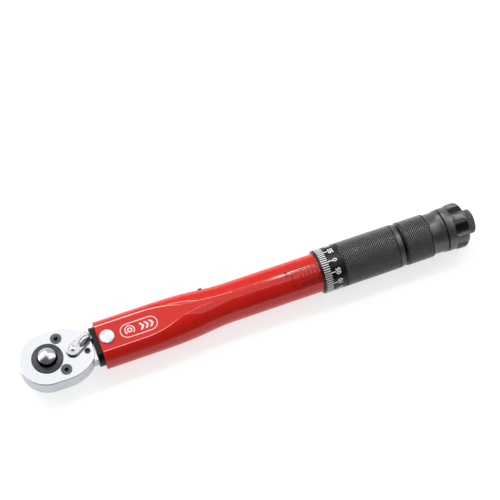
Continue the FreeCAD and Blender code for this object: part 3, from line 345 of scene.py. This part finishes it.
def turned_black():
    """Black turned metal."""
    material, tree, shader, place = new_material("turned_black", 0.6)
    cloud = noise(tree, place, 60, 3, (8, 1, 1))
    vary(tree, shader, cloud, "Roughness", 0.24, 0.38)
    tint(tree, shader, cloud, (0.011, 0.011, 0.012), (0.018, 0.018, 0.02))
    bumps(tree, shader, (along_x(tree, place, 0.18 * MM), 0.0015 * MM), (cloud, 0.01 * MM))
    return material


def diamonds(tree, place, pitch, count):
    """A cross-hatched pattern round the long axis, from 0 in the valleys to 1 on the tops."""
    x, y, z = axes(tree, place)
    angle = math_node(tree, "ARCTAN2", math_node(tree, "SUBTRACT", z, AXIS_Z), y)
    around = math_node(tree, "MULTIPLY", angle, count / 2)
    along = math_node(tree, "MULTIPLY", x, math.pi / pitch)
    cuts = [math_node(tree, "ABSOLUTE", math_node(tree, "SINE", math_node(tree, way, along, around)))
            for way in ("ADD", "SUBTRACT")]
    return math_node(tree, "MINIMUM", *cuts)


def grey_with_painted_shade(name, low, high, hollow_shade, top):
    """Dark grey plating with painted shade that turns it nearly black in hollows, by distance from the
    axis.
    """
    material, tree, shader, place = new_material(name, 0.7)
    grain = noise(tree, place, 1600)
    vary(tree, shader, grain, "Roughness", 0.3, 0.42)
    # Painted shade: the colour darkens towards black nearer the axis
    tint(tree, shader, share(tree, axis_distance(tree, place), low, high), hollow_shade, top)
    bumps(tree, shader, (grain, 0.01 * MM))
    return material


def crossed_grey(name, color, pitch, count):
    """Grey plating cut with fine diamonds, with painted shade in the valleys; the lighter tops are partly
    wear and partly painted highlight.
    """
    material, tree, shader, place = new_material(name, 0.7)
    pattern = diamonds(tree, place, pitch, count)
    # Painted shade in the valleys, and tops lighter partly from wear and partly as painted highlight
    tint(tree, shader, pattern, [c * 0.15 for c in color], [c * 1.5 for c in color])
    vary(tree, shader, pattern, "Roughness", 0.5, 0.34)
    bumps(tree, shader, (pattern, 0.25 * MM))
    return material


def plain_steel(name, color, roughness):
    """Bare metal with a faint cloud."""
    material, tree, shader, place = new_material(name, 1)
    cloud = noise(tree, place, 400)
    vary(tree, shader, cloud, "Roughness", roughness - 0.06, roughness + 0.08)
    tint(tree, shader, cloud, [c * 0.9 for c in color], [c * 1.06 for c in color])
    bumps(tree, shader, (cloud, 0.008 * MM))
    return material


def print_ink(name, color):
    """Printed ink, slightly uneven."""
    material, tree, shader, place = new_material(name, 0)
    cloud = noise(tree, place, 2500, 2)
    tint(tree, shader, cloud, [c * 0.88 for c in color], color)
    vary(tree, shader, cloud, "Roughness", 0.4, 0.55)
    return material


MATERIALS = {
    "head_chrome": satin_chrome(),
    "bright_chrome": bright_chrome(),
    "ring_steel": ring_steel(),
    "screw_black": black_oxide(),
    "tube_red": red_paint(),
    "pin_white": satin_white(),
    "collar_black": black_rubber(),
    "inner_steel": plain_steel("inner_steel", (0.5, 0.5, 0.52), 0.3),
    "spring_steel": plain_steel("spring_steel", (0.38, 0.38, 0.4), 0.28),
    "nut_brass": plain_steel("nut_brass", (0.72, 0.52, 0.22), 0.32),
    "thimble_black": turned_black(),
    # Painted shade in the grip's groove and bores
    "grip_grey": grey_with_painted_shade("grip_grey", GRIP_RADIUS - 1.45 * MM, GRIP_RADIUS - 1.1 * MM,
                             (0.004, 0.004, 0.005), (0.095, 0.096, 0.1)),
    # Painted shade in the knob's scallops
    "knob_grey": grey_with_painted_shade("knob_grey", KNOB_RADIUS - 2.4 * MM, KNOB_RADIUS - 0.6 * MM,
                              (0.012, 0.012, 0.013), (0.11, 0.112, 0.117)),
}
KNURL_DEPTH = 0.42 * MM
# Painted shade in the knurl's valleys; the lighter tops are partly wear and partly painted highlight
KNURLED = grey_with_painted_shade("knurled_grey", GRIP_RADIUS - KNURL_DEPTH, GRIP_RADIUS, (0.010, 0.010, 0.011),
                       (0.21, 0.212, 0.22))
CROSSED = crossed_grey("crossed_grey", (0.12, 0.12, 0.125), 1.3 * MM, 36)
CREASE_HIGHLIGHT = painted_crease_highlight()
WHITE_INK = print_ink("white_ink", (0.97, 0.98, 0.98))
BLACK_INK = print_ink("black_ink", (0.02, 0.012, 0.012))
BADGE_INK = print_ink("badge_ink", (0.85, 0.72, 0.70))


def finish_cad_nodes():
    """Gives every CAD node the procedural material of its slot."""
    for node in NODES.values():
        for slot in node.material_slots:
            slot.material = MATERIALS[slot.material.name]


# ---------------------------------------------------------------- mesh helpers

def add_piece(name, verts, faces, material, body, smooth_angle=35, special=None, marked=()):
    """Makes a mesh object, shades it and lets it ride on its body; marked faces get the special look."""
    mesh = bpy.data.meshes.new(name)
    mesh.from_pydata(verts, [], faces)
    mesh.materials.append(material)
    if special:
        mesh.materials.append(special)
        for i in marked:
            mesh.polygons[i].material_index = 1
    mesh.validate()
    work = bmesh.new()
    work.from_mesh(mesh)
    bmesh.ops.recalc_face_normals(work, faces=work.faces)
    work.to_mesh(mesh)
    work.free()
    mesh.shade_smooth()
    mesh.set_sharp_from_angle(angle=math.radians(smooth_angle))
    piece = bpy.data.objects.new(name, mesh)
    bpy.context.scene.collection.objects.link(piece)
    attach(piece, body)
    return piece


def polar(x, radius, angle):
    """A point at a distance along the wrench, at an angle from +Y towards +Z."""
    return (x, radius * math.cos(angle), AXIS_Z + radius * math.sin(angle))


class Turned:
    """A closed mesh of rings round the long axis, all with the same number of corners."""

    def __init__(self, corners):
        self.corners = corners
        self.verts = []
        self.faces = []
        self.marked = []
        self.last = None
        self.first = None

    def point(self, x, radius, angle):
        self.verts.append(polar(x, radius, angle))
        return len(self.verts) - 1

    def ring(self, x, radius):
        """Adds a ring and joins it to the one before; the radius is a number or depends on the angle."""
        step = 2 * math.pi / self.corners
        angles = [i * step for i in range(self.corners)]
        self.join([self.point(x, radius(a) if callable(radius) else radius, a) for a in angles])

    def rings(self, *stops):
        for x, radius in stops:
            self.ring(x, radius)

    def outline(self, x, points):
        """Adds a ring through given points across the axis."""
        first = len(self.verts)
        self.verts += [(x, y, AXIS_Z + z) for y, z in points]
        self.join(list(range(first, first + len(points))))

    def join(self, ring):
        if self.last:
            count = len(ring)
            for i in range(count):
                j = (i + 1) % count
                self.faces.append((self.last[i], self.last[j], ring[j], ring[i]))
        self.first = self.first or ring
        self.last = ring

    def close(self):
        """Joins the last ring to the first."""
        self.join(self.first)


def knurl(turned, start, end, top, depth, length):
    """Covers a stretch with diamonds, two corners wide and two rows long, with small flat tops."""
    rows = 2 * round((end - start) / length)
    step = 2 * math.pi / turned.corners
    rise = (end - start) / rows
    floor = top - depth
    flat = 0.42
    grid = [[turned.point(start + m * rise, floor, k * step)
             if (k + m) % 2 == 0 or m in (0, rows) else None
             for k in range(turned.corners)] for m in range(rows + 1)]
    turned.join(grid[0])
    first_face = len(turned.faces)
    for m in range(rows + 1):
        for k in range(turned.corners):
            if (k + m) % 2 == 0:
                continue
            left = grid[m][(k - 1) % turned.corners]
            right = grid[m][(k + 1) % turned.corners]
            if m in (0, rows):
                tip = grid[1][k] if m == 0 else grid[rows - 1][k]
                turned.faces.append((left, grid[m][k], tip))
                turned.faces.append((grid[m][k], right, tip))
                continue
            corners = [left, grid[m - 1][k], right, grid[m + 1][k]]
            offsets = [(-flat, 0), (0, -flat), (flat, 0), (0, flat)]
            tops = [turned.point(start + (m + v) * rise, top, (k + u) * step) for u, v in offsets]
            for i in range(4):
                j = (i + 1) % 4
                turned.faces.append((corners[i], corners[j], tops[j], tops[i]))
            turned.faces.append(tuple(tops))
    turned.marked += range(first_face, len(turned.faces))
    turned.last = grid[rows]


# ---------------------------------------------------------------- tube

FLARE_START = 56 * MM
FLARE_END = 110 * MM
FLAT_FLARE = 32 * MM
SIDE_FLARE = 52 * MM
ROUND_FLARE = 34 * MM
NEAR_LINE_END = 98 * MM
TAIL_START = 196.2 * MM
FRONT_SIDE_CENTRE = 4.8 * MM
FRONT_SIDE_RADIUS = 9.5 * MM
FRONT_LEVEL = 8.9 * MM
TAIL_INSET = 1.0 * MM
TUBE_WALL = 2.0 * MM
SLACK = 0.02 * MM
FLAT_STEPS = 6
CREASE_STEPS = 8
SIDE_STEPS = 16


def eased(value):
    """Eases from 0 to 1 as value goes from 0 to 1."""
    value = min(max(value, 0), 1)
    return value * value * (3 - 2 * value)


def flat_level(x):
    """The height of the tube's flat over its axis."""
    rise = eased((x - FLARE_START) / FLAT_FLARE)
    return FRONT_LEVEL + (TUBE_RADIUS - FRONT_LEVEL) * rise


def tube_outline(x, inset, crease):
    """The tube's outline at x: flat above and below, round at the sides, drawn in by inset."""
    run = x - FLARE_START
    centre = FRONT_SIDE_CENTRE * (1 - eased(run / SIDE_FLARE)) + SLACK
    radius = FRONT_SIDE_RADIUS + (TUBE_RADIUS - FRONT_SIDE_RADIUS) * eased(run / ROUND_FLARE) - inset
    level = min(flat_level(x) - inset, radius - SLACK)
    side = centre + math.sqrt((radius - crease) ** 2 - (level - crease) ** 2)
    turn = math.atan2(level - crease, side - centre)
    quarter = [(side * i / FLAT_STEPS, level) for i in range(FLAT_STEPS)]
    for i in range(CREASE_STEPS):
        angle = QUARTER + (turn - QUARTER) * i / CREASE_STEPS
        quarter.append((side + crease * math.cos(angle), level - crease + crease * math.sin(angle)))
    for i in range(SIDE_STEPS):
        angle = turn * (1 - i / SIDE_STEPS)
        quarter.append((centre + radius * math.cos(angle), radius * math.sin(angle)))
    corner = (centre + radius, 0)
    right = quarter + [corner] + [(y, -z) for y, z in reversed(quarter)]
    return right + [(-y, z) for y, z in reversed(right[1:-1])]


def evenly(start, end, step):
    """Places from start to end, at most a step apart."""
    count = math.ceil((end - start) / step)
    return [start + (end - start) * i / count for i in range(count + 1)]


def make_tube():
    """The painted tube as one smooth skin, with a rounded mouth and a turned-down tail.

    The creases carry a painted highlight: the far one over its full width, the near one over half of it.
    """
    tube = Turned(0)
    crease = 1.5 * MM
    mouth = 0.35 * MM
    inner = 0.4 * MM
    far_crease = range(FLAT_STEPS, FLAT_STEPS + CREASE_STEPS)
    near_middle = 4 * (FLAT_STEPS + CREASE_STEPS + SIDE_STEPS) - FLAT_STEPS - CREASE_STEPS // 2
    near_crease = range(near_middle - 1, near_middle + 3)
    for step in range(4):
        turn = math.radians(30 * step)
        inset = mouth * (1 - math.sin(turn))
        place = TUBE_START + mouth * (1 - math.cos(turn))
        tube.outline(place, tube_outline(TUBE_START, inset, crease))
    for x in evenly(TUBE_START + 2 * mouth, FLARE_END, 1.5 * MM):
        first = len(tube.faces)
        tube.outline(x, tube_outline(x, 0, crease))
        # Faces on the creases take the painted highlight
        tube.marked += [first + i for i in far_crease]
        if x < NEAR_LINE_END:
            tube.marked += [first + i for i in near_crease]
    for x in evenly(FLARE_END + 4 * MM, TAIL_START, 4 * MM):
        tube.outline(x, tube_outline(x, 0, crease))
    tube.outline(TAIL_START, tube_outline(TAIL_START, TAIL_INSET, crease))
    tube.outline(TUBE_END, tube_outline(TUBE_END, TAIL_INSET, crease))
    tube.outline(TUBE_END, tube_outline(TUBE_END, TUBE_WALL, inner))
    for x in reversed(evenly(FLARE_START, FLARE_END, 3 * MM)):
        tube.outline(x, tube_outline(x, TUBE_WALL, inner))
    tube.outline(TUBE_START, tube_outline(TUBE_START, TUBE_WALL, inner))
    tube.close()
    # The crease faces get the painted highlight material
    piece = add_piece("painted_tube", tube.verts, tube.faces, MATERIALS["tube_red"], "tube", 50,
                      CREASE_HIGHLIGHT, tube.marked)
    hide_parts("outer_tube")


# ---------------------------------------------------------------- handle

BAND_START = 210.2 * MM
GROOVE_START = 212.5 * MM
GROOVE_END = 214.7 * MM
GROOVE_RADIUS = 11.5 * MM
WAIST_START = 231.0 * MM
WAIST_RADIUS = 12.1 * MM
SPIGOT_RADIUS = 12.25 * MM
SLEEVE_BORE = 11.55 * MM
REAR_BORE = 10.55 * MM
REAR_BORE_START = 208.9 * MM
WEB_START = 218.5 * MM
WEB_END = 223.5 * MM
CHAMBER_RADIUS = 9.05 * MM
HEXAGON_RADIUS = 4.9 * MM


def profile(x, radius, *steps):
    """Places and radii for rings, each given in millimetres past x and below a radius."""
    return [(x + along * MM, radius - down * MM) for along, down in steps]


def make_grip():
    """The grip with its two knurled bands, its groove, its waist and the bore inside."""
    front = THIMBLE_END + 0.3 * MM
    top = GRIP_RADIUS
    pitch = 1.6 * MM
    grip = Turned(102)
    grip.rings((SPIGOT_START, SLEEVE_BORE), (SPIGOT_START, SPIGOT_RADIUS), (front, SPIGOT_RADIUS),
               *profile(front, top, (0, 0.4), (0.12, 0.12), (0.4, 0.02)))
    knurl(grip, front + 0.5 * MM, BAND_START - 0.4 * MM, top, KNURL_DEPTH, pitch)
    grip.rings(*profile(BAND_START, top, (-0.3, 0.02), (0, 0.05), (0.35, 0.25)),
               *profile(GROOVE_START, top, (-0.3, 0.25), (-0.05, 0.35), (0.1, 0.6)),
               *profile(GROOVE_START, GROOVE_RADIUS, (0.15, -0.3), (0.4, 0)),
               *profile(GROOVE_END, GROOVE_RADIUS, (-0.55, 0), (-0.3, -0.3)),
               *profile(GROOVE_END, top, (-0.25, 0.4), (-0.1, 0.12), (0.15, 0.02)))
    knurl(grip, GROOVE_END + 0.3 * MM, WAIST_START - 0.5 * MM, top, KNURL_DEPTH, pitch)
    grip.rings(*profile(WAIST_START, top, (-0.4, 0.02), (-0.15, 0.1), (0.2, 0.4)),
               *profile(WAIST_START, WAIST_RADIUS, (0.4, -0.15), (0.8, 0)),
               *profile(GRIP_END, WAIST_RADIUS, (-2.9, 0), (-1.9, -0.2)),
               *profile(GRIP_END, top, (-1.1, 0.4), (-0.5, 0.22), (-0.15, 0.25), (0, 0.4)),
               (GRIP_END, CHAMBER_RADIUS), (WEB_END, CHAMBER_RADIUS), (WEB_END, HEXAGON_RADIUS),
               (WEB_START, HEXAGON_RADIUS), (WEB_START, REAR_BORE), (REAR_BORE_START, REAR_BORE),
               (REAR_BORE_START, SLEEVE_BORE))
    grip.close()
    # The grip and its knurls carry painted shade in their hollows
    piece = add_piece("knurled_grip", grip.verts, grip.faces, MATERIALS["grip_grey"], "handle",
                      28, KNURLED, grip.marked)
    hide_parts("grip_sleeve")


LOBE_START = 245.0 * MM
LOBE_RADIUS = 13.5 * MM
COLLAR_RADIUS = 12.9 * MM
SCALLOP_RADIUS = 9.0 * MM
SCALLOP_FLOOR = 11.0 * MM
SCALLOP_TURN = math.radians(5)
SCALLOPS = 6


def blended_least(first, second, softness):
    """The smaller of two lengths, with a rounded passage from one to the other."""
    closeness = max(softness - abs(first - second), 0) / softness
    return min(first, second) - closeness * closeness * softness / 4


def scallop(angle):
    """The radius left by the nearest scallop's cutter."""
    period = 2 * math.pi / SCALLOPS
    away = (angle - SCALLOP_TURN + period / 2) % period - period / 2
    reach = SCALLOP_FLOOR + SCALLOP_RADIUS
    square = SCALLOP_RADIUS ** 2 - (reach * math.sin(away)) ** 2
    if square <= 0:
        return reach
    return reach * math.cos(away) - math.sqrt(square)


def lobes(crest, depth):
    """A ring's radius at an angle, cut by the scallops to a share of their full depth."""
    lift, softness = 0.12 * MM, 0.5 * MM

    def radius(angle):
        floor = crest - max(crest - scallop(angle), 0) * depth
        return blended_least(crest, floor + lift, softness)
    return radius


def make_knob():
    """The six-lobed knob with soft ridges, a plain collar and the stepped bore inside."""
    knob = Turned(240)
    bore = 2.55 * MM
    seat = KNOB_START + 2.65 * MM
    seat_radius = 3.5 * MM
    rise = 2.2 * MM
    rise_rings = 9
    knob.rings((KNOB_START, seat_radius),
               *profile(KNOB_START, COLLAR_RADIUS, (0, 0.5), (0.15, 0.15), (0.5, 0)),
               *profile(LOBE_START, COLLAR_RADIUS, (-1.0, 0), (-0.3, 0.02)))
    for i in range(rise_rings):
        done = (i + 1) / rise_rings
        crest = COLLAR_RADIUS + (LOBE_RADIUS - COLLAR_RADIUS) * eased(done)
        knob.ring(LOBE_START + rise * done, lobes(crest, eased(done * 2.2)))
    rounding = [(1.2, 0), (2.4, 0), (3.6, 0), (4.5, 0.06), (5.2, 0.3), (5.8, 0.75), (6.3, 1.4), (6.6, 2.1),
                (6.75, 3.0)]
    for x, crest in profile(LOBE_START + rise, LOBE_RADIUS, *rounding):
        knob.ring(x, lobes(crest, 1))
    knob.rings((KNOB_END, LOBE_RADIUS - 4.0 * MM), (KNOB_END, bore), (seat, bore), (seat, seat_radius))
    knob.close()
    # The knob carries painted shade in its scallops
    piece = add_piece("lobed_knob", knob.verts, knob.faces, MATERIALS["knob_grey"], "lock_knob",
                      40)
    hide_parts("lock_knob")


# ---------------------------------------------------------------- prints

SLICE = 0.8 * MM
INK_RISE = 0.025 * MM
INK_ROOT = 0.03 * MM
BADGE_RISE = 0.03 * MM
BADGE_ROOT = 0.04 * MM


class Print:
    """Flat ink shapes in a plane, then wrapped into thin closed solids."""

    def __init__(self):
        self.plane = bmesh.new()

    def polygon(self, points):
        self.plane.faces.new([self.plane.verts.new((u, v, 0)) for u, v in points])

    def bar(self, u_span, v_span):
        (left, right), (low, high) = u_span, v_span
        self.polygon([(left, low), (right, low), (right, high), (left, high)])

    def band(self, outer, inner):
        """A closed frame between two outlines with as many points each."""
        outside = [self.plane.verts.new((u, v, 0)) for u, v in outer]
        inside = [self.plane.verts.new((u, v, 0)) for u, v in inner]
        for i in range(len(outer)):
            j = (i + 1) % len(outer)
            self.plane.faces.new((outside[i], outside[j], inside[j], inside[i]))

    def text(self, words, u, v, size):
        """Adds words centred on a point, in the plain built-in font."""
        curve = bpy.data.curves.new("words", "FONT")
        curve.body = words
        curve.size = size
        curve.align_x = "CENTER"
        curve.align_y = "CENTER"
        curve.resolution_u = 3
        curve.offset = size * 0.02
        holder = bpy.data.objects.new("words", curve)
        bpy.context.scene.collection.objects.link(holder)
        bpy.context.view_layer.update()
        mesh = bpy.data.meshes.new_from_object(holder)
        mesh.transform(Matrix.Translation((u, v, 0)))
        self.plane.from_mesh(mesh)
        bpy.data.objects.remove(holder)
        bpy.data.curves.remove(curve)
        bpy.data.meshes.remove(mesh)

    def slice(self, step):
        """Cuts the shapes along lines of equal u, so that they can bend round a cylinder."""
        us = [vert.co.x for vert in self.plane.verts]
        count = math.floor(min(us) / step)
        while count * step < max(us):
            shapes = self.plane.verts[:] + self.plane.edges[:] + self.plane.faces[:]
            bmesh.ops.bisect_plane(self.plane, geom=shapes, dist=1e-7,
                                   plane_co=(count * step, 0, 0), plane_no=(1, 0, 0))
            count += 1

    def solid(self, name, place, material, body):
        """Turns the plane into a solid: place gives the point for a u, a v and a side."""
        bmesh.ops.remove_doubles(self.plane, verts=self.plane.verts, dist=1e-7)
        self.plane.verts.index_update()
        shape = self.plane.verts
        count = len(shape)
        verts = [place(vert.co.x, vert.co.y, True) for vert in shape]
        verts += [place(vert.co.x, vert.co.y, False) for vert in shape]
        faces = []
        for face in self.plane.faces:
            loop = [vert.index for vert in face.verts]
            faces.append(loop)
            faces.append([i + count for i in reversed(loop)])
        for edge in self.plane.edges:
            if len(edge.link_faces) == 1:
                a, b = [vert.index for vert in edge.verts]
                faces.append([a, b, b + count, a + count])
        self.plane.free()
        return add_piece(name, verts, faces, material, body)


def round_place(x, angle, radius):
    """Wraps a print round the axis: u runs against the angle and v runs towards the head."""
    def place(u, v, outer):
        level = radius + (INK_RISE if outer else -INK_ROOT)
        return polar(x - v, level, angle - u / radius)
    return place


def make_thimble_scale():
    """Sixty white lines, every fifth one longer and numbered."""
    ink = Print()
    lines, numbered = 60, 5
    pitch = 2 * math.pi * GRIP_RADIUS / lines
    half = 0.25 * MM
    line_front, line_back = 4.0 * MM, -2.7 * MM
    number_place, number_size = -4.5 * MM, 3.9 * MM
    for i in range(lines):
        major = i % numbered == 0
        centre = -i * pitch
        ink.bar((centre - half, centre + half), (line_back if major else 0, line_front))
        if major:
            ink.text(f"{i:02d}" if i else "0", centre, number_place, number_size)
    ink.slice(SLICE)
    place = round_place(THIMBLE_START + 5.2 * MM, math.radians(97.5), GRIP_RADIUS)
    ink.solid("thimble_scale", place, WHITE_INK, "handle")


def make_tube_scale():
    """The black main scale: a datum line, marks with their numbers, and the unit."""
    ink = Print()
    front = 145 * MM
    half = 0.23 * MM
    degree = math.radians(1) * TUBE_RADIUS
    end = -16.5 * MM
    first_mark, mark_pitch, marks = -5 * MM, -2.5 * MM, 5
    ink.bar((-52 * degree, 36 * degree), (-half, half))
    ink.bar((-half, half), (end, -half * 2))
    ink.bar((-38.6 * degree, -37.4 * degree), (end, first_mark))
    for i in range(marks):
        v = first_mark + mark_pitch * i
        ink.bar((half * 2, 18 * degree), (v - half, v + half))
        ink.bar((-32 * degree, -10 * degree), (v - half, v + half))
        ink.text(str(30 - 5 * i), -45 * degree, v, 2.5 * MM)
    ink.text("Nm", 2 * degree, 2.8 * MM, 3.0 * MM)
    ink.slice(SLICE)
    place = round_place(front, math.radians(91), TUBE_RADIUS)
    ink.solid("tube_scale", place, BLACK_INK, "tube")


def pill(centre, half_length, half_width, count=12):
    """An outline with two straight sides and two round ends."""
    points = []
    straight = half_length - half_width
    for side in (1, -1):
        for i in range(count + 1):
            angle = side * QUARTER - math.pi * i / count
            points.append((centre[0] + side * straight + half_width * math.cos(angle),
                           centre[1] + half_width * math.sin(angle)))
    return points


def circle(centre, radius, count):
    """Corners evenly round a centre."""
    return [(centre[0] + radius * math.cos(2 * math.pi * i / count),
             centre[1] + radius * math.sin(2 * math.pi * i / count)) for i in range(count)]


def arrow_round(ink, centre, start, sweep, steps):
    """An arrow that turns round a centre: a curved band and a pointed head."""
    inner, outer = 2.4 * MM, 3.0 * MM
    head_inner, head_outer, head_length = 1.9 * MM, 3.5 * MM, 0.5

    def point(radius, angle):
        return (centre[0] + radius * math.cos(angle), centre[1] + radius * math.sin(angle))

    for i in range(steps):
        a, b = start + sweep * i / steps, start + sweep * (i + 1) / steps
        ink.polygon([point(inner, a), point(outer, a), point(outer, b), point(inner, b)])
    tip = start + sweep
    ink.polygon([point(head_inner, tip), point(head_outer, tip),
                 point((inner + outer) / 2, tip + head_length)])


def chevron(ink, x, middle):
    """A pointer made of two slanted bars."""
    tall, thick, lean = 2.2 * MM, 1.3 * MM, 1.5 * MM
    for side in (1, -1):
        ink.polygon([(x, middle + side * tall), (x + thick, middle + side * tall),
                     (x + thick + lean, middle), (x + lean, middle)])


def make_badge():
    """A plain drawing on the flat: a frame, a hexagon nut with a turning arrow, and three chevrons."""
    ink = Print()
    middle = (53.6 * MM, -0.6 * MM)
    nut = (middle[0] - 5.4 * MM, middle[1])
    half_length, half_width, line = 11.0 * MM, 4.4 * MM, 0.5 * MM
    ink.band(pill(middle, half_length, half_width), pill(middle, half_length - line, half_width - line))
    ink.band(circle(nut, 1.7 * MM, 6), circle(nut, 0.85 * MM, 6))
    arrow_round(ink, nut, math.radians(-50), math.radians(250), 18)
    for i in range(3):
        chevron(ink, middle[0] + (0.4 + 2.8 * i) * MM, middle[1])

    def place(u, v, outer):
        return (u, v, AXIS_Z + flat_level(u) + (BADGE_RISE if outer else -BADGE_ROOT))

    ink.slice(1.0 * MM)
    ink.solid("tube_badge", place, BADGE_INK, "tube")


# ---------------------------------------------------------------- stage

CAMERA_PLACE = Vector((-29.7, -365.5, 817.2)) * MM
CAMERA_LENS = 112.6
CAMERA_YAW = math.radians(22.25)
CAMERA_PITCH = math.radians(-62.16)
CAMERA_ROLL = math.radians(1.49)


def make_camera():
    """A long lens above the near side, looking down along the wrench."""
    data = bpy.data.cameras.new("camera")
    data.lens = CAMERA_LENS
    data.sensor_width = 36
    data.clip_start = 0.01
    camera = bpy.data.objects.new("camera", data)
    bpy.context.scene.collection.objects.link(camera)
    ahead = Vector((math.sin(CAMERA_YAW) * math.cos(CAMERA_PITCH),
                    math.cos(CAMERA_YAW) * math.cos(CAMERA_PITCH), math.sin(CAMERA_PITCH)))
    right = Vector((math.cos(CAMERA_YAW), -math.sin(CAMERA_YAW), 0))
    above = right.cross(ahead)
    across = right * math.cos(CAMERA_ROLL) + above * math.sin(CAMERA_ROLL)
    upward = above * math.cos(CAMERA_ROLL) - right * math.sin(CAMERA_ROLL)
    turn = Matrix((across, upward, -ahead)).transposed()
    camera.matrix_world = Matrix.Translation(CAMERA_PLACE) @ turn.to_4x4()
    bpy.context.scene.camera = camera


def area_light(name, place, target, size, power):
    """A rectangular lamp whose long side lies along the wrench."""
    data = bpy.data.lights.new(name, "AREA")
    data.shape = "RECTANGLE"
    data.size, data.size_y = size
    data.energy = power
    lamp = bpy.data.objects.new(name, data)
    bpy.context.scene.collection.objects.link(lamp)
    back = (Vector(place) - Vector(target)).normalized()
    side = Vector((1, 0, 0))
    side = (side - back * side.dot(back)).normalized()
    turn = Matrix((side, back.cross(side), back)).transposed()
    lamp.matrix_world = Matrix.Translation(place) @ turn.to_4x4()
    return lamp


def make_lights():
    """One large soft lamp behind the wrench, for the shadow on its near side."""
    area_light("key", (-0.35, 0.75, 0.75), (0.13, 0, AXIS_Z), (0.3, 0.3), 1.8)


# Brightness of the room at an angle from the far horizon, over the wrench, to the near horizon
ROOM = [(0, 0.55), (30, 0.6), (44, 0.95), (52, 1.45), (53.8, 3.0), (54.4, 18.0), (57.2, 18.0),
        (58.0, 1.6), (62, 1.25), (94, 1.2), (95.2, 3.0), (96.8, 3.0), (97.8, 0.35), (112, 0.12),
        (165, 0.12), (180, 0.3)]
# The strips of light do not run quite along the wrench: degrees for a direction one unit along X,
# the direction where they are true, and how far from it the slant still grows
ROOM_TILT = 170
ROOM_LEVEL = 0.141
ROOM_REACH = (-0.12, 0.08)


def make_world():
    """A white room with two narrow bright strips, and a dim side where the camera stands."""
    world = bpy.data.worlds.new("room")
    bpy.context.scene.world = world
    world.use_nodes = True
    tree = world.node_tree
    background = tree.nodes["Background"]
    x, y, z = axes(tree, tree.nodes.new("ShaderNodeTexCoord").outputs["Generated"])
    angle = math_node(tree, "ARCTAN2", z, y)
    off = math_node(tree, "SUBTRACT", x, ROOM_LEVEL)
    off = math_node(tree, "MAXIMUM", math_node(tree, "MINIMUM", off, ROOM_REACH[1]), ROOM_REACH[0])
    slant = math_node(tree, "MULTIPLY", off, math.radians(ROOM_TILT))
    turned = math_node(tree, "DIVIDE", math_node(tree, "SUBTRACT", angle, slant), math.pi)
    ramp = tree.nodes.new("ShaderNodeValToRGB")
    stops = ramp.color_ramp.elements
    brightest = max(value for _, value in ROOM)
    for i, (degrees, value) in enumerate(ROOM):
        stop = stops[i] if i < 2 else stops.new(1.0)
        stop.position = degrees / 180
        shade = value / brightest
        stop.color = (shade, shade, shade, 1)
    tree.links.new(turned, ramp.inputs["Fac"])
    tree.links.new(ramp.outputs["Color"], background.inputs["Color"])
    background.inputs["Strength"].default_value = brightest


def make_floor():
    """A wide, plain, nearly white floor just under the wrench."""
    side = 3.0
    mesh = bpy.data.meshes.new("floor")
    corners = [(-side, -side), (side, -side), (side, side), (-side, side)]
    mesh.from_pydata([(x, y, FLOOR_Z) for x, y in corners], [], [(0, 1, 2, 3)])
    floor = bpy.data.objects.new("floor", mesh)
    bpy.context.scene.collection.objects.link(floor)
    material, tree, shader, place = new_material("floor", 0)
    tint(tree, shader, noise(tree, place, 8, 2), (0.37, 0.39, 0.39), (0.38, 0.40, 0.40))
    shader.inputs["Roughness"].default_value = 0.8
    shader.inputs["Emission Color"].default_value = (1, 1, 1, 1)
    shader.inputs["Emission Strength"].default_value = 0.73
    mesh.materials.append(material)


finish_cad_nodes()
NODES["end_cap"].material_slots[0].material = CROSSED
make_tube()
make_grip()
make_knob()
make_thimble_scale()
make_tube_scale()
make_badge()
make_camera()
make_world()
make_lights()
make_floor()
bpy.context.scene.view_settings.view_transform = "Standard"
bpy.context.view_layer.update()
